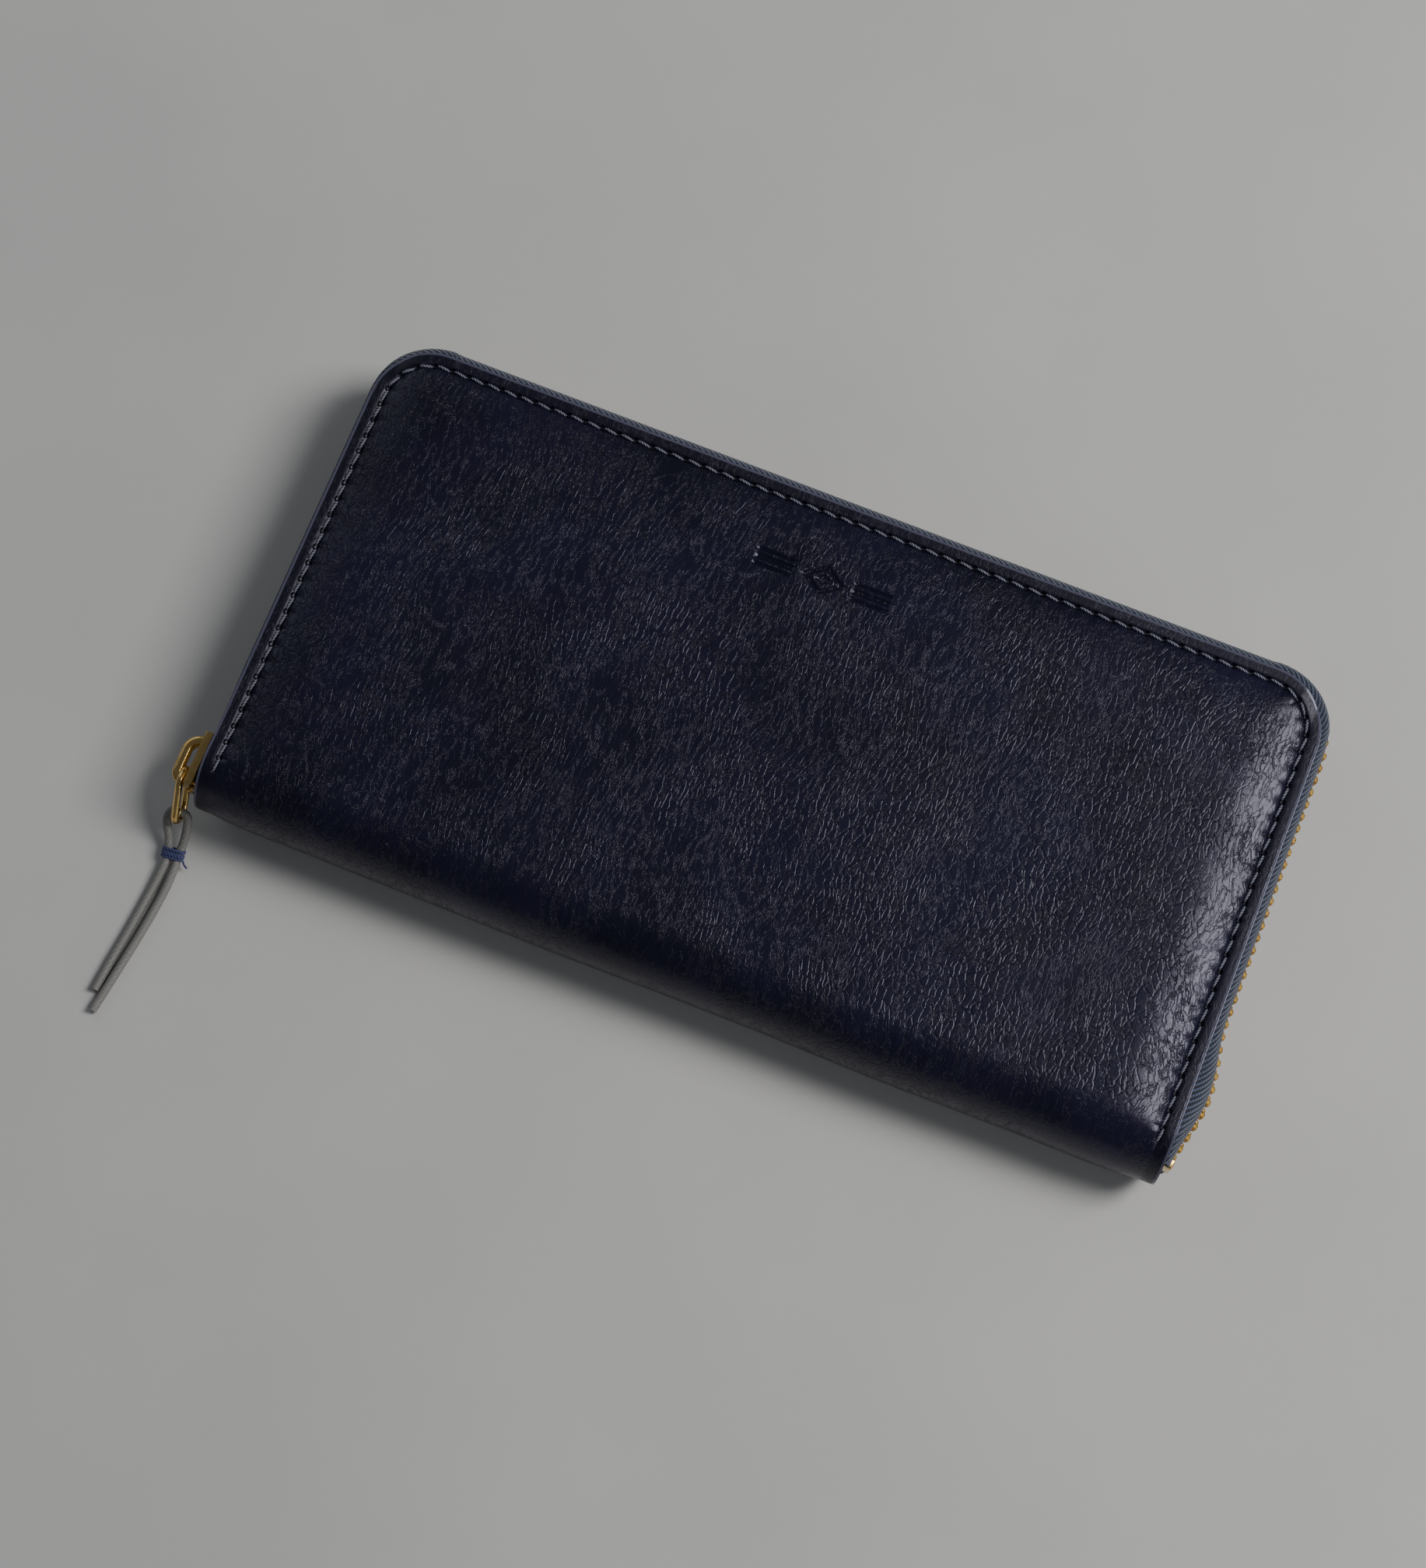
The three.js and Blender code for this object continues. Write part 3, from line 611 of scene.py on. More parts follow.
sample_tooth = one_tooth()
first_tooth = 3.25 * mm
back_row = tooth_row("zip_row_back", sample_tooth, first_tooth, False)
front_row = tooth_row("zip_row_front", sample_tooth, first_tooth + tooth_pitch / 2, True)
bpy.data.objects.remove(sample_tooth)
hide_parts("zip_teeth_back", "zip_teeth_back_left", "zip_teeth_back_end")
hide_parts("zip_teeth_front", "zip_teeth_front_left", "zip_teeth_front_end")
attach(back_row, "back_cover")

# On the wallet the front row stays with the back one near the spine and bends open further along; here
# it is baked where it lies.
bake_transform(front_row)


# ---------------------------------------------------------------- zip tapes
# Woven navy twill, sewn under the covers' edges, rolling outwards and down to its corded edge that
# the teeth clamp.

corner_round = 12 * mm        # of the covers' two far corners
tape_wall = 0.56 * mm
side_fall = 1.7 * mm          # how far the padded covers fall to their edge at the short ends
long_fall = 0.9 * mm          # and at the long edge
back_fall = 0.6               # the back cover's share of those falls


def soft_end(value):
    return min(1.0, max(0.0, value))


def soft_share(value):
    """0 below 0 and 1 above 1, with a soft step between."""
    return soft_end(value) ** 2 * (3 - 2 * soft_end(value))


def edge_fall(place):
    """How far the cover's edge lies below its middle beside a point of the zip."""
    return long_fall + (side_fall - long_fall) * soft_share((far_y - 3 * mm - place.y) / (10 * mm))


def spine_drop(y):
    """How far the spine's round has fallen below the cover's top at y."""
    past = soft_end((fold_y - y) / spine_crown)
    return middle_z * (1 - math.sqrt(1 - past * past))


def zip_tape(name, flipped):
    """The tape as a strip with its weave map: its sewn flange, then its free side, which puffs out a
    little past the covers' edge. It is then given its thickness."""
    stations = 260
    across = 14
    flat_wide = 13                # of the whole tape, in millimetres, for its weave
    sewn_share = 0.3
    sewn_wide = 3.2 * mm
    past_edge = 0.1 * mm
    tip_depth = tooth_tip_z - tooth_reach + 0.9 * mm

    def place_of(i, j):
        distance = zip_long * i / stations
        place, out = along_zip(distance)
        depth = edge_fall(place) * (1 if flipped else back_fall) + spine_drop(place.y) + 1.72 * mm
        edge_gap = 0.65 * mm
        if abs(place.x) < half_long - corner_round:
            edge_gap = place.y - far_y
        elif place.x > 0:
            edge_gap = max(place.x - half_long, 0.65 * mm)
        t = j / across
        if t < sewn_share:
            outward = past_edge - edge_gap - sewn_wide * (1 - t / sewn_share)
        else:
            swing = (t - sewn_share) / (1 - sewn_share)
            roll = math.sin(swing * math.pi / 2) ** 0.8
            outward = past_edge - edge_gap + (edge_gap + 0.05 * mm) * roll
            puff = (0.25 + 0.75 * soft_share(out.y)) * mm * soft_share((distance - 14 * mm) / (12 * mm))
            outward += puff * math.sin(math.pi * min(1.0, swing * 1.15))
            depth += (tip_depth - depth) * swing ** 1.35
        point = place + out * outward
        return (point.x, point.y, top_z - depth if flipped else depth)

    def map_of(i, j):
        return (zip_long / mm * i / stations, flat_wide * j / across)

    tape = laid_grid(name, stations + 1, across + 1, place_of, map_of, "Weave")
    outward_faces(tape)
    applied(tape, "SOLIDIFY", thickness=tape_wall, offset=0)
    smooth(tape, 50)
    return tape


def navy_twill():
    """Twill: fine navy ribs on a slant, each broken into floats, with a painted highlight on their
    crowns and painted shade between them.
    """
    material, shader, place = new_material("navy_twill", "Weave")
    along, across = place.part(0), place.part(1)
    rib = ((along + across) * (2 * math.pi / 1.3)).sine() * 0.5 + 0.5
    broken = ((along - across * 0.9) * (2 * math.pi / 0.9)).sine() * 0.5 + 0.5
    fuzz = place.clouds(6, 4)
    weave = (rib * 0.7 + broken * 0.3).between(0.2, 0.85)
    patch = place.clouds(0.12, 2)
    thread = (weave * 0.8 + fuzz * 0.3).between(0.2, 0.95)
    # Painted highlight and shade: the weave's crowns are painted lighter and its gaps darker; the fuzz
    # and the broad patches are the tape's own tone.
    shade = thread.mix((0.006, 0.009, 0.020, 1), (0.070, 0.095, 0.175, 1))
    feed(shader, Base_Color=(patch.between(0.4, 0.7) * 0.35).mix(shade, (0.026, 0.036, 0.066, 1)))
    feed(shader, Roughness=0.72, Normal=(weave + fuzz * 0.3).bump(0.24 * mm))
    feed(shader, Sheen_Weight=0.3, Sheen_Roughness=0.45)
    return material


twill_finish = navy_twill()
back_tape = finish_piece(zip_tape("zip_tape_woven_back", False), twill_finish, "tape")
front_tape = finish_piece(zip_tape("zip_tape_woven_front", True), twill_finish, "tape")
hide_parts("zip_tape_back")
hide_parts("zip_tape_front", "zip_tape_front_left", "zip_tape_front_end")
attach(back_tape, "back_cover")
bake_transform(front_tape)


# ---------------------------------------------------------------- outer leather
# Navy aniline calf, cut as one panel, skived and wrapped from the back cover round the spine to the
# front cover. It is drawn here as two panels that meet under the spine, where the wallet rests.

leather_wall = 1.3 * mm
seam_inset = 2.8 * mm
spine_steps = 200
spine_angles = [math.pi * i / spine_steps for i in range(spine_steps + 1)]


def spine_place(angle):
    """A point of the spine's round, from the front fold (0) to the back fold (pi)."""
    return (fold_y - spine_crown * math.sin(angle), middle_z + middle_z * math.cos(angle))


spine_reach = [0.0]
for a, b in zip(spine_angles, spine_angles[1:]):
    (y0, z0), (y1, z1) = spine_place(a), spine_place(b)
    spine_reach.append(spine_reach[-1] + math.hypot(y1 - y0, z1 - z0))
spine_girth = spine_reach[-1]


def wrapped(flat_y, front):
    """Where a point of the flat panel comes to lie: its y and z, and its outward y and z."""
    if flat_y >= fold_y:
        return (flat_y, top_z if front else 0.0, 0.0, 1.0 if front else -1.0)
    reach = fold_y - flat_y
    if not front:
        reach = spine_girth - reach
    if reach > spine_girth:
        return (fold_y + reach - spine_girth, 0.0, 0.0, -1.0)
    i = 1
    while i < spine_steps and spine_reach[i] < reach:
        i += 1
    share = (reach - spine_reach[i - 1]) / (spine_reach[i] - spine_reach[i - 1])
    angle = spine_angles[i - 1] + (spine_angles[i] - spine_angles[i - 1]) * share
    y, z = spine_place(angle)
    out = Vector((-middle_z * math.sin(angle), spine_crown * math.cos(angle))).normalized()
    return (y, z, out.x, out.y)


def grid_lines(low, high, step, edges=(), low_edges=None):
    """Places of a grid's lines: at these distances (mm) from its ends, and evenly between them."""
    first = [low + e * mm for e in (edges if low_edges is None else low_edges)]
    last = [high - e * mm for e in reversed(edges)]
    start = first.pop() if first else low
    end = last.pop(0) if last else high
    count = max(2, round((end - start) / step))
    return first + [start + (end - start) * i / count for i in range(count + 1)] + last


margin_lines = (0, 0.15, 0.4, 0.8, 1.3, 1.8, 2.15, 2.4, 2.6, 2.8, 3.0, 3.2, 3.45, 3.8, 4.3, 5.0, 6.0,
                7.2, 8.6, 10.2, 12.0)
ornament_at = Vector((-1.5, 34.0, 0)) * mm
ornament_half = Vector((14.6, 3.8, 0)) * mm


def with_fine_part(lines, low, high):
    """The same grid lines, but close together between low and high."""
    count = round((high - low) / (0.3 * mm))
    fine = [low + (high - low) * i / count for i in range(count + 1)]
    near = 0.1 * mm
    return [v for v in lines if v < low - near] + fine + [v for v in lines if v > high + near]


def rounded_in(x, y, far_x, high_y, corner):
    """A grid crossing, drawn in so that the grid's two far corners are round."""
    p = abs(x) - (far_x - corner)
    q = y - (high_y - corner)
    if p <= 0 or q <= 0:
        return x, y
    reach = max(p, q)
    turn = math.pi / 4 * (q / p) if p > q else math.pi / 2 - math.pi / 4 * (p / q)
    out_x = far_x - corner + reach * math.cos(turn)
    return math.copysign(out_x, x), high_y - corner + reach * math.sin(turn)


def inset_of(x, y):
    """Distance inside the cover's edge on the three zip sides."""
    p = abs(x) - (half_long - corner_round)
    q = y - (far_y - corner_round)
    if p > 0 and q > 0:
        return corner_round - math.hypot(p, q)
    return min(half_long - abs(x), far_y - y)


seam_round = corner_round - seam_inset
seam_past_fold = 4.6 * mm     # how far the stitches run on round the spine
seam_side = far_y - corner_round - (fold_y - seam_past_fold)
seam_arc = seam_round * math.pi / 2
seam_long = 2 * (half_long - corner_round)
seam_whole = 2 * seam_side + 2 * seam_arc + seam_long
stitch_count = int(seam_whole / (3.5 * mm))
stitch_pitch = seam_whole / stitch_count


def seam_reach(x, y):
    """Distance along the seam, from the left end of the fold to the right end, beside a flat place."""
    p = abs(x) - (half_long - corner_round)
    q = y - (far_y - corner_round)
    if p > 0 and q > 0:
        local = seam_side + seam_round * math.atan2(q, p)
    elif half_long - abs(x) < far_y - y:
        local = y - (fold_y - seam_past_fold)
    else:
        local = seam_side + seam_arc + (half_long - corner_round - abs(x))
    return local if x < 0 else seam_whole - local


def ornament_depth(x, y):
    """How deep the plain pressed ornament is: a framed lozenge between two pairs of bars."""
    across = abs(x - ornament_at.x) / mm
    upright = abs(y - ornament_at.y) / mm
    lozenge = across / 4.6 + upright / 3.1
    frame_line = soft_share((1.03 - lozenge) / 0.1) * soft_share((lozenge - 0.64) / 0.1)
    heart = soft_share((0.40 - lozenge) / 0.12)
    ends = soft_share((across - 5.8) / 0.4) * soft_share((14.0 - across) / 0.4)
    thick_bar = soft_share((0.70 - upright) / 0.3)
    thin_bar = soft_share((0.40 - abs(upright - 1.55)) / 0.25)
    return max(frame_line, heart, ends * max(thick_bar, thin_bar)) * 0.34 * mm


def fold_ease(y):
    """The share of the edges' fall that is left where the leather turns over the fold."""
    return 0.35 + 0.65 * soft_share((y - fold_y + 6 * mm) / (14 * mm))


def cover_panel(name, front, flat_start):
    """The leather of one cover: laid out flat, mapped, padded and wrapped, then given its thickness."""
    xs = grid_lines(-half_long, half_long, 1.2 * mm, margin_lines)
    ys = grid_lines(flat_start, far_y, 1.2 * mm, margin_lines, low_edges=())
    if front:
        xs = with_fine_part(xs, ornament_at.x - ornament_half.x, ornament_at.x + ornament_half.x)
        ys = with_fine_part(ys, ornament_at.y - ornament_half.y, ornament_at.y + ornament_half.y)
    share = 1 if front else back_fall

    def flat_of(i, j):
        return rounded_in(xs[i], ys[j], half_long, far_y, corner_round)

    def place_of(i, j):
        flat_x, flat_y = flat_of(i, j)
        y, z, out_y, out_z = wrapped(flat_y, front)
        end_roll = (1 - soft_end((half_long - abs(flat_x) - seam_inset) / (11 * mm))) ** 2
        long_roll = (1 - soft_end((far_y - flat_y - seam_inset) / (9 * mm))) ** 2
        fall = max(end_roll * side_fall, long_roll * long_fall) * share * fold_ease(flat_y)
        inset = inset_of(flat_x, flat_y)
        groove = 0.42 * mm * math.exp(-((inset - seam_inset) / (0.5 * mm)) ** 2)
        groove *= soft_share((flat_y - fold_y + seam_past_fold + 2 * mm) / (4 * mm))
        swell = 0.0
        if front:
            wave = noise.noise(Vector((flat_x * 26, flat_y * 30, 0.3)))
            ripple = noise.noise(Vector((flat_x * 90, flat_y * 60, 4.1)))
            swell = (0.22 * wave + 0.07 * ripple) * mm * soft_share((inset - 4 * mm) / (14 * mm))
            swell -= ornament_depth(flat_x, flat_y)
        lift = swell - fall - groove
        return (flat_x, y + out_y * lift, z + out_z * lift)

    def hide_of(i, j):
        flat_x, flat_y = flat_of(i, j)
        return (flat_x / mm, flat_y / mm)

    panel = laid_grid(name, len(xs), len(ys), place_of, hide_of, "Hide")
    mesh = panel.data
    hide = mesh.uv_layers["Hide"]
    seam = mesh.uv_layers.new(name="Seam")
    for loop in mesh.loops:
        flat_x, flat_y = hide.data[loop.index].uv * mm
        seam.data[loop.index].uv = (seam_reach(flat_x, flat_y) / stitch_pitch,
                                    inset_of(flat_x, flat_y) / mm)
    if not front:
        mesh.flip_normals()
    applied(panel, "SOLIDIFY", thickness=leather_wall, offset=-1, use_even_offset=True)
    soften(panel, 0.22 * mm, 2, 55)
    smooth(panel, 60)
    return panel


def navy_calf(name, ornament):
    """Aniline calf: fine pores, long drawn creases across the panel, and clouded navy and violet
    dye. Painted shade darkens its grain's hollows, its pressed ornament, its stitch holes and the band
    outside the seam. Beside the seam it is pinched at each hole, and its rim is paler: partly its edge
    coat, partly a painted highlight where the bevel catches the light."""
    material, shader, place = new_material(name, "Hide")
    bent = place
    for scale, reach in ((0.035, 11.0), (0.5, 1.1)):      # broad bends, then a fine tremble
        push = place.add("ShaderNodeVectorMath", {"operation": "SCALE"},
                         {0: place.clouds(scale, 2, output=1), "Scale": reach})
        bent = place.add("ShaderNodeVectorMath", {"operation": "ADD"}, {0: bent, 1: push})
    grain = bent.drawn((1.0, 0.38, 1), -9).cell_walls(0.86).between(0.0, 0.15)
    pores = bent.cell_walls(2.3).between(0.0, 0.25)
    folds = bent.drawn((0.50, 0.10, 1), -9).clouds(1.0, 5, 0.62)
    fold_line = 1 - (folds - 0.5).size().between(0.0, 0.028)
    fine = place.clouds(5.0, 4, 0.65)
    strong = place.clouds(0.05, 3).between(0.36, 0.60) * 0.7 + 0.3
    height = grain * strong * 1.05 + pores * 0.11 + fine * 0.06 - fold_line * strong * 1.3

    cloud = place.clouds(0.03, 5, 0.6)
    violet = place.clouds(0.042, 3).between(0.48, 0.68) * 0.6
    base = cloud.between(0.34, 0.66).mix((0.0042, 0.0043, 0.0135, 1), (0.0098, 0.0097, 0.0300, 1))
    tinted = violet.mix(base, (0.0118, 0.0082, 0.0280, 1))
    # Painted shade: the grain's hollows, pores and fold lines are darkened in colour where shade would
    # fall in them; the same mask makes them rougher.
    painted_crease_shade = ((1 - grain) * 0.5 + (1 - pores) * 0.2 + fold_line * 0.3) * strong
    colour = painted_crease_shade.between(0.0, 1.0).mix(tinted, (0.0022, 0.0022, 0.0075, 1))
    rough = 0.25 + fine * 0.08 - cloud.between(0.4, 0.8) * 0.04 + painted_crease_shade * 0.12

    if ornament:
        across = (place.part(0) - ornament_at.x / mm).size()
        upright = (place.part(1) - ornament_at.y / mm).size()
        lozenge = across / 4.6 + upright / 3.1
        frame_line = (1 - lozenge.between(0.93, 1.03)) * lozenge.between(0.64, 0.74)
        heart = 1 - lozenge.between(0.28, 0.40)
        ends = across.between(5.8, 6.2) * (1 - across.between(13.6, 14.0))
        bars = (1 - upright.between(0.40, 0.70)) + (1 - (upright - 1.55).size().between(0.15, 0.40))
        pressed = frame_line + heart + ends * bars
        height = height * (1 - pressed * 0.7)
        # Painted shade: the pressed ornament is darkened in colour in its recess, on top of its relief.
        colour = (pressed * 0.55).mix(colour, (0.0026, 0.0028, 0.0085, 1))
        rough = rough - pressed * 0.08

    seam = place.add("ShaderNodeUVMap", {"uv_map": "Seam"})
    along, inset = seam.part(0), seam.part(1)
    rim_coat_and_highlight = 1 - inset.between(0.34, 0.54)
    off_seam = inset - seam_inset / mm
    beat = along.maths("FRACT", along) - 0.5
    inside = along.between(0.0, 0.2) * (1 - along.between(stitch_count - 0.2, stitch_count))
    hole_reach = ((0.5 - beat.size()) * (stitch_pitch / mm)) ** 2 + off_seam ** 2
    stitch_hole_shade = (1 - (hole_reach ** 0.5).between(0.28, 0.72)) * inside
    near = off_seam.between(-0.3, 0.4) * (1 - off_seam.between(0.7, 2.6))
    pucker = near * (beat * beat * 4) * inside
    outer_band_shade = 1 - off_seam.between(-0.4, 0.1)
    height = height * (1 - outer_band_shade * 0.55) * (1 - rim_coat_and_highlight) - pucker * 4.5 - stitch_hole_shade * 6.0
    # Painted shade: the stitch holes are darkened in colour as well as sunk in the bump.
    colour = (stitch_hole_shade * 0.9).mix(colour, (0.0012, 0.0012, 0.0025, 1))
    # Painted shade: the flat band outside the seam is darkened in colour; it is also made rougher, with
    # its grain weakened.
    colour = (outer_band_shade * 0.75).mix(colour, (0.0022, 0.0022, 0.0080, 1))
    # Painted highlight: the rim is painted paler, partly its edge coat and partly a highlight where the
    # bevel catches the light.
    colour = (rim_coat_and_highlight * 0.9).mix(colour, (0.100, 0.100, 0.150, 1))
    rough = rough - rim_coat_and_highlight * 0.08 + outer_band_shade * (1 - rim_coat_and_highlight) * 0.10
    feed(shader, Base_Color=colour, Roughness=rough, Normal=height.bump(0.045 * mm))
    feed(shader, Specular_IOR_Level=0.42, Specular_Tint=(0.84, 0.82, 1.0, 1))
    return material


panel_join = 2.2 * mm         # how far the front panel runs on under the back cover
front_panel = cover_panel("outer_leather_front_and_spine", True, fold_y - spine_girth - panel_join)
back_panel = cover_panel("outer_leather_back", False, fold_y + panel_join + 0.05 * mm)
finish_piece(front_panel, navy_calf("navy_calf_front", True), "leather")
finish_piece(back_panel, navy_calf("navy_calf", False), "leather")
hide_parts("front_leather", "spine_leather")
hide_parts("back_leather")
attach(back_panel, "back_cover")
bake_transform(front_panel)


# ---------------------------------------------------------------- stitching of the covers
# Waxed grey-blue thread, a short slanting stitch at every hole, sunk in its groove along the three
# zip sides of each cover. It holds leather, tape and lining together.


def seam_point(reach):
    """A flat place at a distance along the seam, and the way the seam runs there."""
    x = half_long - seam_inset
    corner_y = far_y - corner_round
    if reach < seam_side:
        return Vector((-x, fold_y - seam_past_fold + reach, 0)), Vector((0, 1, 0))
    if reach > seam_whole - seam_side:
        return Vector((x, corner_y - (reach - seam_whole + seam_side), 0)), Vector((0, -1, 0))
    reach -= seam_side
    if seam_arc <= reach <= seam_arc + seam_long:
        x = corner_round - half_long + reach - seam_arc
        return Vector((x, far_y - seam_inset, 0)), Vector((1, 0, 0))
    left = reach < seam_arc
    if left:
        turn = math.pi - reach / seam_round
    else:
        turn = math.pi / 2 - (reach - seam_arc - seam_long) / seam_round
    centre = Vector(((-1 if left else 1) * (half_long - corner_round), corner_y, 0))
    out = Vector((math.cos(turn), math.sin(turn), 0))
    return centre + out * seam_round, Vector((out.y, -out.x, 0))


def seam_height(place, front):
    """The leather's surface in the seam's groove."""
    share = 1 if front else back_fall
    end = half_long - abs(place.x) < far_y - place.y
    fall = (edge_fall(place) if end else long_fall) * share * fold_ease(place.y)
    y, z, out_y, out_z = wrapped(place.y, front)
    lift = -fall - 0.12 * mm      # the thread lies this deep in the groove
    return Vector((place.x, y + out_y * lift, z + out_z * lift))


def one_stitch():
    """A stitch at the origin along x, leaning a little and sinking into its holes at both ends."""
    line = []
    for k in range(7):
        t = k / 6 * 2 - 1
        line.append(Vector((1.3 * t, -0.2 * t, 0.36 * (1 - t ** 4) - 0.26)) * mm)
    return bar_along("stitch", line, 0.27 * mm, 0.24 * mm, 8,
                     swell=lambda share: 0.55 + 0.45 * max(0, math.sin(math.pi * share)) ** 0.5)


def stitch_row(name, places):
    """A copy of the stitch at each (middle, direction, outward direction), joined as one piece."""
    copies = []
    for surface, ahead, out in places:
        turn = Matrix((ahead, out.cross(ahead), out)).transposed().to_4x4()
        copies.append(copied(sample_stitch, Matrix.Translation(surface) @ turn))
    return finish_piece(joined(name, copies), thread_finish, "thread")


def cover_places(front):
    """The cover's stitches: their middles in the groove, their directions and outward directions."""
    places = []
    for i in range(stitch_count):
        place, ahead = seam_point((i + 0.5) * stitch_pitch)
        _, _, out_y, out_z = wrapped(place.y, front)
        out = Vector((0, out_y, out_z))
        ahead = (ahead - out * ahead.dot(out)).normalized()
        places.append((seam_height(place, front), ahead, out))
    return places


thread_finish = twisted_thread("waxed_thread", (0.028, 0.030, 0.056, 1), (0.25, 0.255, 0.33, 1))
sample_stitch = one_stitch()
front_seam = stitch_row("stitching_front", cover_places(True))
back_seam = stitch_row("stitching_back", cover_places(False))
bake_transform(front_seam)
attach(back_seam, "back_cover")


# ---------------------------------------------------------------- slider
# Cast brass slider: two plates with turned-in lips that hold both tooth rows, a wedge between them,
# and an arched bridge that the link hangs on.

slider_low, slider_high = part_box("slider_body")
plate_wall = 1.0 * mm
bridge_proud = 3.65 * mm
plate_out_x = slider_low.x + bridge_proud
plate_in_x = slider_high.x


def slider_block(x0, x1, y0, y1, z0, z1, flare=0.0):
    """A block of the slider. With a flare it is lower at its waist than at both ends."""
    piece = block(x0, x1, y0, y1, z0, z1)
    cut_lines(piece, [y0 + (y1 - y0) * share for share in (0.25, 0.5, 0.75)], Vector((0, 1, 0)))
    for point in piece.data.vertices:
        t = (point.co.y - y0) / (y1 - y0)
        waist = 1 + flare * (abs(t - 0.55) * 2) ** 2 - flare
        point.co.z = middle_z + (point.co.z - middle_z) * waist
    return piece


def fused(name, blocks, cuts, soft, segments=2, over=45):
    """Brass blocks fused into one casting, cut, and rounded on every edge."""
    first = blocks[0]
    for operation, others in (("UNION", blocks[1:]), ("DIFFERENCE", cuts)):
        for other in others:
            applied(first, "BOOLEAN", operation=operation, object=other)
            bpy.data.objects.remove(other)
    first.name = name
    soften(first, soft, segments, 40)
    smooth(first, over)
    return finish_piece(first, brass_finish, "brass_hardware")


def slider_body():
    """Two plates, the wedge between them, and four lips turned in over the rows."""
    y0, y1 = slider_low.y, slider_high.y
    z0, z1 = slider_low.z, slider_high.z
    lip = 1.5 * mm
    wedge_half = 1.1 * mm
    into = 0.1 * mm
    blocks = [
        slider_block(plate_out_x, plate_out_x + plate_wall, y0, y1, z0, z1, 0.07),
        slider_block(plate_in_x - plate_wall, plate_in_x, y0, y1, z0, z1, 0.07),
        slider_block(plate_out_x + into, plate_in_x - into, y0, y0 + 2 * mm,
                     middle_z - wedge_half, middle_z + wedge_half),
    ]
    for x0, x1 in ((plate_out_x, plate_out_x + lip), (plate_in_x - lip, plate_in_x)):
        blocks.append(slider_block(x0, x1, y0, y1, z0, z0 + plate_wall))
        blocks.append(slider_block(x0, x1, y0, y1, z1 - plate_wall, z1))
    return fused("slider_casting", blocks, [], 0.28 * mm, 3, 50)


def slider_bridge():
    """A flat bar bent into an arch, its two feet in the outer plate."""
    half = 1.0 * mm
    y0 = slider_low.y + 1.02 * mm
    y1 = slider_high.y - 0.4 * mm - half
    far = slider_low.x + half - 0.25 * mm
    feet_x = (plate_out_x + 0.5 * mm, plate_out_x + 0.1 * mm)
    line = [Vector((x, y0, middle_z)) for x in feet_x]
    bends = ((1.7 * mm, y0 + 1.7 * mm, math.pi * 1.5), (2.55 * mm, y1 - 2.55 * mm, math.pi))
    for bend, centre_y, start in bends:
        centre = Vector((far + bend, centre_y, middle_z))
        for i in range(13):
            angle = start - math.pi / 2 * i / 12
            line.append(centre + Vector((math.cos(angle), math.sin(angle), 0)) * bend)
    line += [Vector((x, y1, middle_z)) for x in reversed(feet_x)]
    return bar_along("slider_bridge_bar", line, half, 1.15 * mm, 28, square=0.62)


casting = slider_body()
bridge_bar = finish_piece(slider_bridge(), brass_finish, "brass_hardware")
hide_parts("slider_body")
for piece in (casting, bridge_bar):
    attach(piece, "zip_slider")


# ---------------------------------------------------------------- link
# A long closed link of round brass wire that hangs on the bridge's leg and carries the cord.

link_bar = 1.4 * mm
link_radius = 2.55 * mm
link_straight = 6 * mm
link_hang = Vector((plate_out_x - (bridge_proud - 1.7 * mm) / 2, slider_low.y + 0.85 * mm, middle_z))


def link_ring():
    """The wire bent to its long ring, then hung on the bridge as it lies."""
    bpy.ops.mesh.primitive_torus_add(major_radius=link_radius, minor_radius=link_bar / 2,
                                     major_segments=64, minor_segments=20)
    ring = bpy.context.object
    ring.name = "link_wire"
    for point in ring.data.vertices:
        if point.co.y < -1e-6:
            point.co.y -= link_straight
    hang = (Matrix.Translation(link_hang) @ Matrix.Rotation(math.radians(6), 4, "Z")
            @ Matrix.Rotation(math.radians(44), 4, "X") @ Matrix.Rotation(math.radians(87), 4, "Y"))
    ring.data.transform(hang)
    bpy.ops.object.shade_smooth()
    return ring


link_wire = finish_piece(link_ring(), brass_finish, "brass_hardware")
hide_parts("link_ring")
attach(link_wire, "link")


# ---------------------------------------------------------------- stops at the zip's ends
# Small square brass clamps: one on each row where the slider stops closed, and one across both rows
# at the other end.

stop_long = 2 * mm


def zip_stop(name, distance, low, high):
    place, out = along_zip(distance)
    half_high = (high - low) / 2
    stop = block(-tooth_deep / 2, tooth_deep / 2, -stop_long / 2, stop_long / 2, -half_high, half_high)
    stop.name = name
    soften(stop, 0.3 * mm, 3)
    stop.data.transform(Matrix.Translation((place.x, place.y, (low + high) / 2))
                        @ Matrix.Rotation(math.atan2(out.y, out.x), 4, "Z"))
    smooth(stop, 40)
    return finish_piece(stop, brass_finish, "brass_hardware")


for name, node, distance in (
    ("top_stop_back", "zip_top_stop_back", stop_long / 2),
    ("top_stop_front", "zip_top_stop_front", stop_long / 2),
    ("bottom_stop", "zip_bottom_stop", zip_long - stop_long / 2),
):
    node_low, node_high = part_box(node)
    stop = zip_stop(name, distance, node_low.z, node_high.z)
    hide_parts(node)
    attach(stop, "back_cover")


# ---------------------------------------------------------------- linings and boards
# Thin smooth calf lines both covers and the spine over a grey stiffening board. The covers' stitches
# come through it, and its edges are turned in.


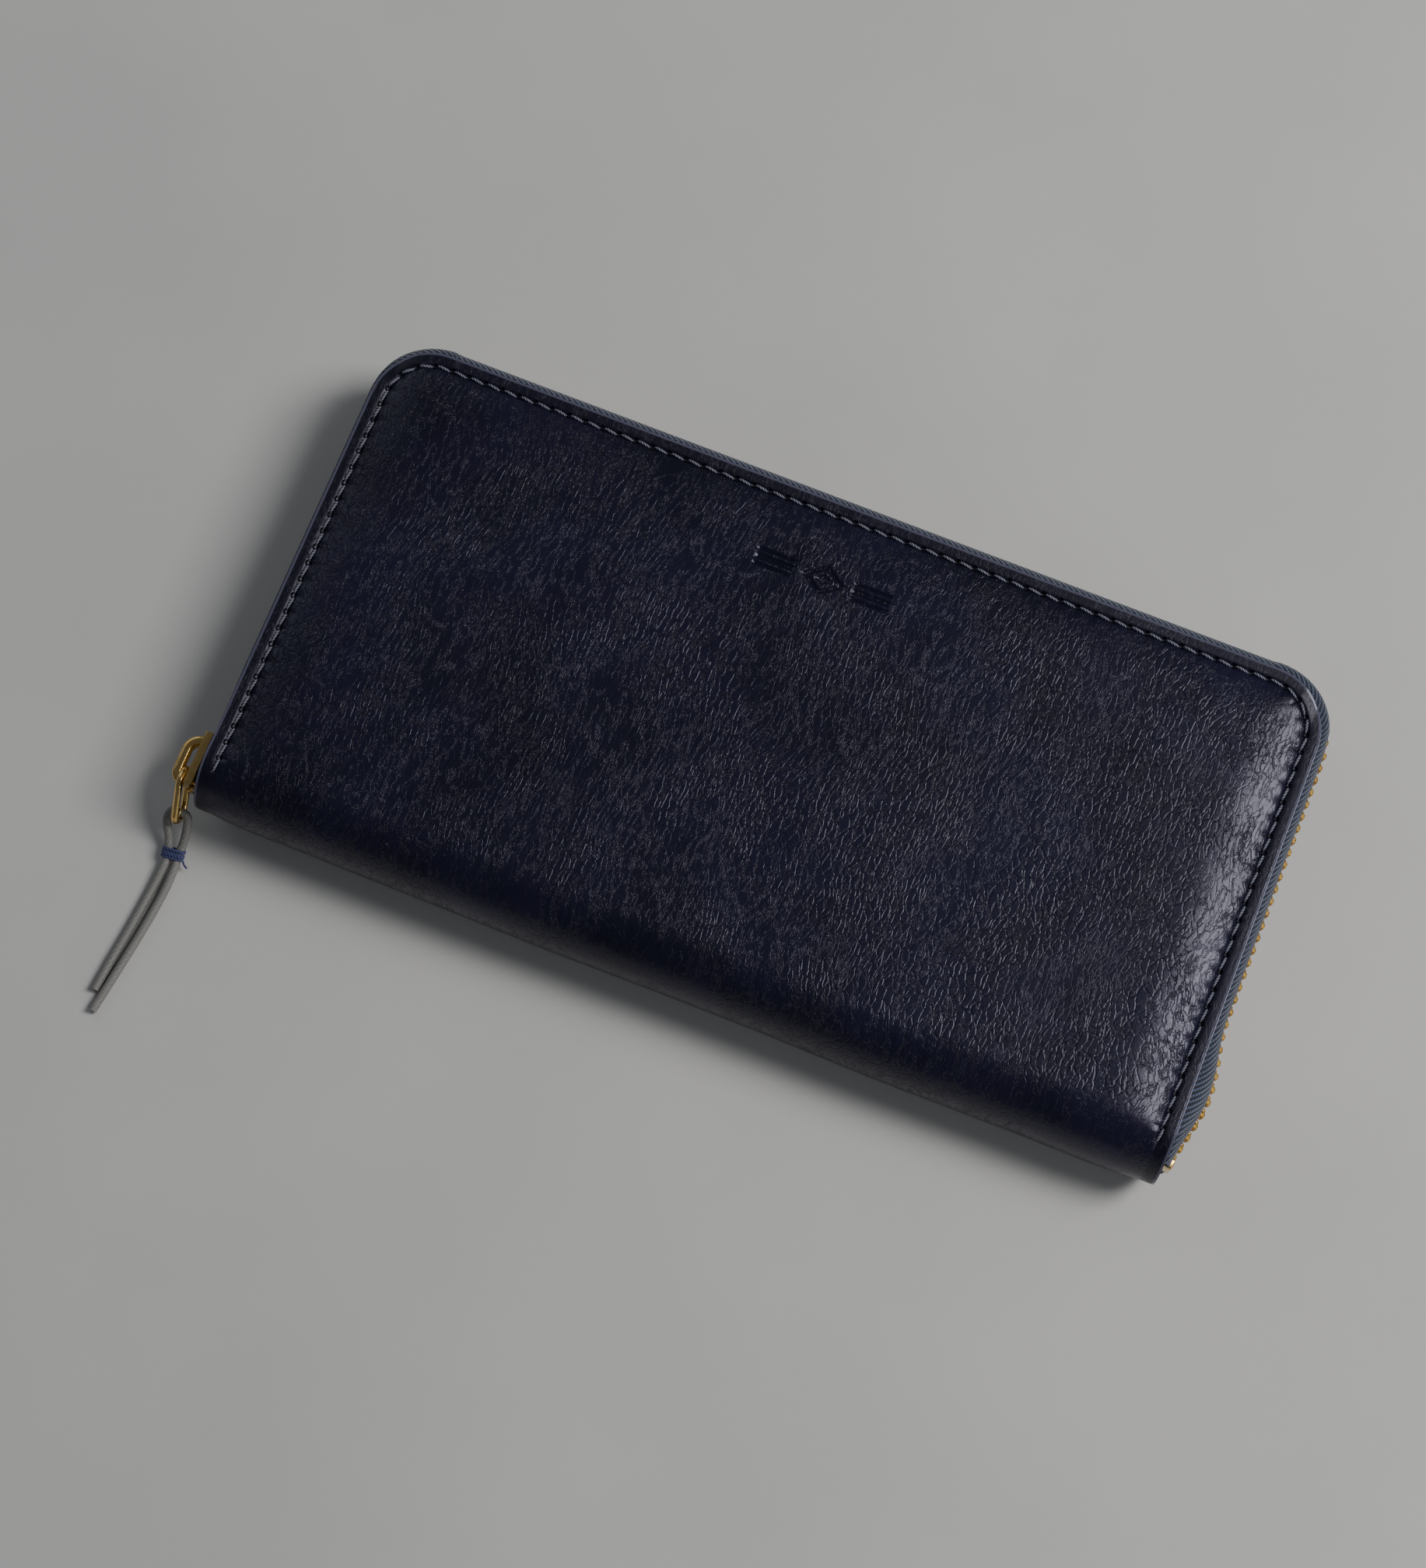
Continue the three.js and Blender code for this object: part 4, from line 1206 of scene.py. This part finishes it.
def sheet_of(name, xs, ys, place_of, wall, turned=0.2 * mm, round_corner=0.0, map_name="Hide"):
    """A sheet on grid lines: place_of puts each flat (x, y) in space. It is thickened both ways and
    its edges are turned over."""

    def flat_of(i, j):
        if round_corner:
            return rounded_in(xs[i], ys[j], xs[-1], ys[-1], round_corner)
        return xs[i], ys[j]

    def map_of(i, j):
        u, v = flat_of(i, j)
        return (u / mm, v / mm)

    piece = laid_grid(name, len(xs), len(ys), lambda i, j: place_of(*flat_of(i, j)), map_of, map_name)
    applied(piece, "SOLIDIFY", thickness=wall, offset=0)
    outward_faces(piece)
    soften(piece, turned, 2, 60)
    smooth(piece, 60)
    return piece


def lining_calf(name, low, high):
    """Smooth lining calf: very fine grain, faint broad clouds and a soft sheen."""
    material, shader, place = new_material(name, "Hide")
    grain = place.cell_walls(1.7).between(0.0, 0.28)
    fine = place.clouds(4.0, 4)
    colour = (place.clouds(0.035, 4).between(0.3, 0.7) * 0.7 + grain * 0.3).mix(low, high)
    feed(shader, Base_Color=colour, Roughness=0.52 + fine * 0.12)
    feed(shader, Normal=(grain * 0.6 + fine * 0.5).bump(0.06 * mm), Specular_IOR_Level=0.45)
    return material


def grey_board():
    """Pressed fibre board: matt, flecked, with a faint felt side."""
    material, shader, place = new_material("grey_board", "Hide")
    fleck = place.drawn((0.5, 3.0, 1)).clouds(1.2, 5)
    feed(shader, Base_Color=fleck.between(0.3, 0.7).mix((0.10, 0.085, 0.068, 1), (0.19, 0.165, 0.13, 1)))
    feed(shader, Roughness=0.92, Normal=fleck.bump(0.08 * mm))
    return material


lining_finish = lining_calf("lining_calf", (0.010, 0.012, 0.030, 1), (0.026, 0.030, 0.070, 1))
board_finish = grey_board()
edge_lines = (0, 0.5, 1.1, 1.8, 2.6, 3.6)
lining_inset = 1.5 * mm
sheet_wall = 0.6 * mm


def cover_sheet(name, node, wall, round_corner, sway):
    """A cover-shaped sheet in the space of its node, swaying a little between its edges."""
    low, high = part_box(node)
    middle = (low.z + high.z) / 2
    xs = grid_lines(low.x, high.x, 3.2 * mm, edge_lines)
    ys = grid_lines(low.y, high.y, 3.2 * mm, edge_lines)

    def place_of(x, y):
        inside = min(high.x - abs(x), high.y - y, y - low.y)
        wave = noise.noise(Vector((x * 30, y * 34, middle * 90)))
        return (x, y, middle + wave * sway * soft_share(inside / (9 * mm)))

    return sheet_of(name, xs, ys, place_of, wall, round_corner=round_corner)


for side, body in (("back", "back_cover"), ("front", "front_cover")):
    lining = cover_sheet(f"lining_sheet_{side}", f"{side}_lining", sheet_wall,
                         corner_round - lining_inset, 0.18 * mm)
    board = cover_sheet(f"board_sheet_{side}", f"{side}_board", 0.7 * mm, 4 * mm, 0.0)
    for sheet, finish, slot in ((lining, lining_finish, "lining"), (board, board_finish, "board")):
        finish_piece(sheet, finish, slot)
        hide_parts(f"{side}_{slot}")
        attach(sheet, body)

spine_inner_low, spine_inner_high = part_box("spine_lining")
spine_flat = 30 * mm          # how wide the spine's lining is laid flat, for its map


def spine_lining_place(x, v):
    depth_in = leather_wall + sheet_wall
    turn = v / spine_flat * math.pi
    return (x, fold_y + 0.15 * mm - (spine_crown - depth_in) * math.sin(turn),
            middle_z + (middle_z - depth_in) * math.cos(turn))


spine_sheet = sheet_of(
    "lining_sheet_spine", grid_lines(spine_inner_low.x, spine_inner_high.x, 4 * mm, edge_lines),
    [spine_flat * i / 40 for i in range(41)], spine_lining_place, sheet_wall)
finish_piece(spine_sheet, lining_finish, "lining")
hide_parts("spine_lining")
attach(spine_sheet, "back_cover")

for side, body, level, facing in (("back", "back_cover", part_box("back_lining")[1].z, 1),
                                  ("front", "front_cover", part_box("front_lining")[0].z, -1)):
    start_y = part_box(f"{side}_lining")[0].y + 2 * mm
    inner_places = [(Vector((p.x, p.y, level)), d, Vector((0, 0, facing)))
                    for p, d, _ in cover_places(side == "front") if p.y > start_y]
    inner_seam = stitch_row(f"stitching_inside_{side}", inner_places)
    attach(inner_seam, body)


# ---------------------------------------------------------------- card slots
# Four stepped calf pockets on each cover. Each one's mouth stands a little proud, with a pressed
# line beside it, and all four are sewn down their ends and their middle.

slot_lift = 0.35 * mm
slot_seam_in = 1.8 * mm
slot_stitch_gap = 3.6 * mm


def card_slot(name, node, facing):
    """One slot's leather, its mouth up and lifted towards facing between its seams."""
    low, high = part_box(node)
    middle = (low.z + high.z) / 2
    xs = grid_lines(low.x, high.x, 3.2 * mm, (0, 0.4, 1.0, 1.8))
    ys = grid_lines(low.y, high.y, 1.6 * mm, (0, 0.4, 0.8, 1.2, 1.45, 1.7, 1.95, 2.3, 2.8, 3.4))

    def place_of(x, y):
        to_mouth = high.y - y
        share = (y - low.y) / (high.y - low.y)
        sewn = min(1.0, min(high.x - abs(x), abs(x) + 0.6 * mm) / (16 * mm))
        lift = slot_lift * share ** 2 * (0.3 + 0.7 * soft_share(sewn))
        pressed = 0.16 * mm * math.exp(-((to_mouth - 1.7 * mm) / (0.28 * mm)) ** 2)
        return (x, y, middle + facing * (lift - pressed))

    return sheet_of(name, xs, ys, place_of, sheet_wall)


slot_finish = lining_calf("slot_calf", (0.012, 0.014, 0.036, 1), (0.030, 0.034, 0.080, 1))
for side, body, facing in (("back", "back_cover", 1), ("front", "front_cover", -1)):
    sewn = []
    for i in range(1, 5):
        node = f"card_slot_{side}_{i}"
        slot_piece = card_slot(f"slot_leather_{side}_{i}", node, facing)
        finish_piece(slot_piece, slot_finish, "card_slots")
        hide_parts(node)
        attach(slot_piece, body)
        low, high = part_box(node)
        level = high.z if facing > 0 else low.z
        for x in (low.x + slot_seam_in, 0.0, high.x - slot_seam_in):
            for k in range(4):
                y = low.y + (k + 0.55) * slot_stitch_gap
                lift = slot_lift * ((y - low.y) / (high.y - low.y)) ** 2 * 0.3
                place = Vector((x, y, level + facing * lift))
                sewn.append((place, Vector((0, 1, 0)), Vector((0, 0, facing))))
    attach(stitch_row(f"stitching_slots_{side}", sewn), body)


# ---------------------------------------------------------------- coin pocket
# Two calf panels joined by side strips and a folded base strip, hinged in the spine. The panels'
# edges are turned and sewn, and a pressed line runs along the mouth.

_, pocket_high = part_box("pocket_back_panel")
panel_seam_in = 1.8 * mm


def pocket_panel(name, node, facing):
    """One panel of the pocket, whose outer face looks towards facing."""
    low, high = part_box(node)
    middle = (low.z + high.z) / 2
    lines = (0, 0.5, 1.0, 1.5, 1.8, 2.1, 2.6, 3.4, 4.6)
    xs = grid_lines(low.x, high.x, 3.4 * mm, lines)
    ys = grid_lines(low.y, high.y, 3.4 * mm, lines)

    def place_of(x, y):
        inside = min(high.x - abs(x), high.y - y, y - low.y)
        to_mouth = high.y - y
        wave = noise.noise(Vector((x * 26, y * 30, facing * 3.7))) * 0.1 * mm
        wave *= soft_share(inside / (12 * mm))
        pressed = 0.14 * mm * math.exp(-((to_mouth - 4.2 * mm) / (0.35 * mm)) ** 2)
        groove = 0.12 * mm * math.exp(-((inside - panel_seam_in) / (0.4 * mm)) ** 2)
        return (x, y, middle + facing * (wave - pressed - groove))

    return sheet_of(name, xs, ys, place_of, sheet_wall, round_corner=3 * mm)


def pocket_places(node, facing):
    """Stitches round a panel's mouth and both sides."""
    low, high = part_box(node)
    level = (high.z if facing > 0 else low.z) - facing * 0.1 * mm
    end_gap = 4 * mm
    out = Vector((0, 0, facing))
    places = []
    across = int((high.x - low.x - 2 * end_gap) / stitch_pitch)
    up = int((high.y - low.y - 2 * end_gap) / stitch_pitch)
    for i in range(across):
        x = (i + 0.5 - across / 2) * stitch_pitch
        places.append((Vector((x, high.y - panel_seam_in, level)), Vector((1, 0, 0)), out))
    for side in (-1, 1):
        for i in range(up):
            y = low.y + end_gap + (i + 0.5) * stitch_pitch
            place = Vector((side * (high.x - panel_seam_in), y, level))
            places.append((place, Vector((0, 1, 0)), out))
    return places


for side, facing in (("back", -1), ("front", 1)):
    node = f"pocket_{side}_panel"
    panel = pocket_panel(f"pocket_leather_{side}", node, facing)
    finish_piece(panel, slot_finish, "inner_leather")
    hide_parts(node)
    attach(panel, "coin_pocket")
    seam = stitch_row(f"stitching_pocket_{side}", pocket_places(node, facing))
    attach(seam, "coin_pocket")

for side, sign in (("left", -1), ("right", 1)):
    low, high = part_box(f"pocket_side_{side}")
    strip_x = (low.x + high.x) / 2
    ups = grid_lines(low.z - middle_z, high.z - middle_z, 0.3 * mm, (0, 0.15, 0.35))
    alongs = grid_lines(low.y, pocket_high.y + 0.4 * mm, 3 * mm, (0, 0.5, 1.5))

    def strip_place(u, v):
        narrow = 1 - 0.32 * soft_share((v - high.y + 1.5 * mm) / (1.5 * mm))
        bowed = 0.9 * mm * math.cos(u / (high.z - low.z) * math.pi)
        return (strip_x - sign * bowed, v, middle_z + u * narrow)

    strip = sheet_of(f"pocket_side_strip_{side}", ups, alongs, strip_place, sheet_wall)
    finish_piece(strip, slot_finish, "inner_leather")
    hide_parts(f"pocket_side_{side}")
    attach(strip, "coin_pocket")

base_low, base_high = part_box("pocket_base")
base_xs = grid_lines(base_low.x, base_high.x, 4 * mm, (0, 0.5, 1.5))
base_rise = (0.2, 0.2, 0.3, 0.8, 1.5, 1.95, 2.1, 2.12)


def base_strip(name, facing):
    """One of the base's two strips: flat in the hinge, then turned out onto its panel's inner face."""
    ys = [base_low.y + step * mm for step in (0.2, 2.2, 3.8, 4.7)]
    ys += [base_high.y + step * mm for step in (-0.2, 0.8, 2.5, 5)]

    def place_of(x, v):
        i = round(v / mm)
        return (x, ys[i], middle_z + facing * base_rise[i] * mm)

    return sheet_of(name, base_xs, [i * mm for i in range(len(ys))], place_of, 0.4 * mm, turned=0.1 * mm)


for side, facing in (("back", -1), ("front", 1)):
    strip = finish_piece(base_strip(f"pocket_base_strip_{side}", facing), slot_finish, "inner_leather")
    if side == "back":
        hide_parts("pocket_base")
    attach(strip, "coin_pocket")

bpy.data.objects.remove(sample_stitch)


# ---------------------------------------------------------------- coin pocket's zip
# A finer brass zip on the same twill, sewn inside the pocket's mouth, with a small slider and a flat
# pull with an eye.

for side, facing in (("back", -1), ("front", 1)):
    low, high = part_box(f"pocket_tape_{side}")
    middle = (low.z + high.z) / 2

    def tape_place(x, y):
        cord = 0.28 * mm * math.exp(-((high.y - 0.5 * mm - y) / (0.6 * mm)) ** 2)
        return (x, y, middle - facing * cord)

    coin_tape = sheet_of(f"coin_tape_{side}", grid_lines(low.x, high.x, 2.5 * mm, (0, 0.5, 1.5)),
                         grid_lines(low.y, high.y, 0.7 * mm), tape_place, 0.5 * mm, map_name="Weave")
    finish_piece(coin_tape, twill_finish, "tape")
    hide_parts(f"pocket_tape_{side}")
    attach(coin_tape, "coin_pocket")

coin_pitch = 2.5 * mm
coin_deep = 1.6 * mm
coin_wide = 1.0 * mm


def coin_row(name, node, flipped):
    """A row of small teeth, narrower towards their tips."""
    low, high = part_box(node)
    half_high = (high.z - low.z) / 2
    tooth = block(-coin_wide / 2, coin_wide / 2, -coin_deep / 2, coin_deep / 2, -half_high, half_high)
    for point in tooth.data.vertices:
        if (point.co.z < 0) == flipped:
            point.co.x *= 0.7
            point.co.y *= 0.7
    soften(tooth, 0.16 * mm, 1)
    copies = []
    x = low.x + coin_wide / 2 + (coin_pitch / 2 if flipped else 0) + 0.3 * mm
    while x < high.x - coin_wide / 2:
        place = (x, (low.y + high.y) / 2, (low.z + high.z) / 2)
        copies.append(copied(tooth, Matrix.Translation(place)))
        x += coin_pitch
    bpy.data.objects.remove(tooth)
    row = joined(name, copies)
    smooth(row, 40)
    return finish_piece(row, tooth_finish, "teeth")


for side, flipped in (("back", False), ("front", True)):
    coin_teeth = coin_row(f"coin_row_{side}", f"pocket_teeth_{side}", flipped)
    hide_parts(f"pocket_teeth_{side}")
    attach(coin_teeth, "coin_pocket")


runner_low, runner_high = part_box("pocket_slider")
runner_teeth_low, runner_teeth_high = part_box("pocket_teeth_back")
upper_face = runner_teeth_high.y + 0.3 * mm
lower_face = runner_teeth_low.y - 0.3 * mm
plate_thin = 0.8 * mm
pin_y = runner_high.y - plate_thin
runner = fused("coin_slider_casting", [
    block(runner_low.x, runner_high.x, upper_face, upper_face + plate_thin, runner_low.z, runner_high.z),
    block(runner_low.x, runner_high.x, lower_face - plate_thin, lower_face,
          middle_z - 1.7 * mm, middle_z + 1.7 * mm),
    block(runner_low.x, runner_low.x + 2 * mm, lower_face - 0.4 * mm, pin_y + 0.1 * mm,
          middle_z - 0.8 * mm, middle_z + 0.8 * mm),
    block(runner_low.x + 0.05 * mm, runner_low.x + 1.9 * mm, pin_y - plate_thin * 0.9, runner_high.y,
          runner_low.z + 0.05 * mm, runner_high.z - 0.05 * mm),
], [], 0.18 * mm)
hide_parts("pocket_slider")
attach(runner, "coin_slider")

pull_low, pull_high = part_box("pocket_pull")
pull_arm = 0.7 * mm
pull_start = pull_low.x + 2.3 * mm
pull_y0, pull_y1 = pull_low.y, pull_high.y
coin_pull = fused("coin_pull_tab", [
    block(pull_start, pull_high.x, pull_y0, pull_y1, middle_z - 2.5 * mm, middle_z + 2.5 * mm),
    block(pull_start - 0.02 * mm, pull_start + 1 * mm, pull_y0 + 0.02 * mm, pull_y1 - 0.02 * mm,
          pull_low.z, pull_high.z),
    block(pull_low.x, pull_start + 0.9 * mm, pull_y0 + 0.04 * mm, pull_y1 - 0.04 * mm,
          pull_low.z + 0.01 * mm, pull_low.z + pull_arm),
    block(pull_low.x, pull_start + 0.9 * mm, pull_y0 + 0.04 * mm, pull_y1 - 0.04 * mm,
          pull_high.z - pull_arm, pull_high.z - 0.01 * mm),
], [
    block(pull_start + 5.5 * mm, pull_high.x - 1.4 * mm, pull_y0 - mm, pull_y1 + mm,
          middle_z - 1.1 * mm, middle_z + 1.1 * mm),
], 0.2 * mm)
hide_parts("pocket_pull")
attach(coin_pull, "coin_pull")


# ---------------------------------------------------------------- gussets
# Folded calf strips at both ends join each cover's lining to the coin pocket, their fold pointing
# inwards. On the wallet they open like a fan with the covers; here they are baked where they lie.


gusset_girth = 26 * mm        # from the pocket round the fold to the cover, for its map
gusset_edge_x = 93 * mm
sewn_in = 0.3 * mm


def gusset(name, node, sign, facing):
    """facing is 1 for the strip above the pocket. Its flat map runs from the pocket to the cover."""
    low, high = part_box(node)
    alongs = grid_lines(low.y, high.y, 2.2 * mm, (0, 0.6, 1.5))
    ups = [i / 20 * gusset_girth for i in range(21)]
    near, far = low.z + sewn_in, high.z - sewn_in
    if facing < 0:
        near, far = far, near

    def place_of(u, v):
        t = u / gusset_girth
        fold = 1 - abs(2 * t - 1) ** 1.35
        share = (v - low.y) / (high.y - low.y)
        deep = (6.5 + 4.9 * share) * mm
        ripple = 0.1 * mm * math.sin(v / mm * 0.55 + sign) * fold
        return (sign * (gusset_edge_x - deep * fold), v, near + (far - near) * t + ripple)

    strip = sheet_of(name, ups, alongs, place_of, 0.45 * mm, turned=0.1 * mm)
    return finish_piece(strip, lining_finish, "inner_leather")


for side, sign in (("left", -1), ("right", 1)):
    lower = gusset(f"gusset_leather_back_{side}", f"gusset_back_{side}", sign, -1)
    upper = gusset(f"gusset_leather_front_{side}", f"gusset_front_{side}", sign, 1)
    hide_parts(f"gusset_back_{side}")
    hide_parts(f"gusset_front_{side}")
    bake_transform(lower)
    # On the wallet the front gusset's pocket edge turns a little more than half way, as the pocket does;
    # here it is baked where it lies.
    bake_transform(upper)
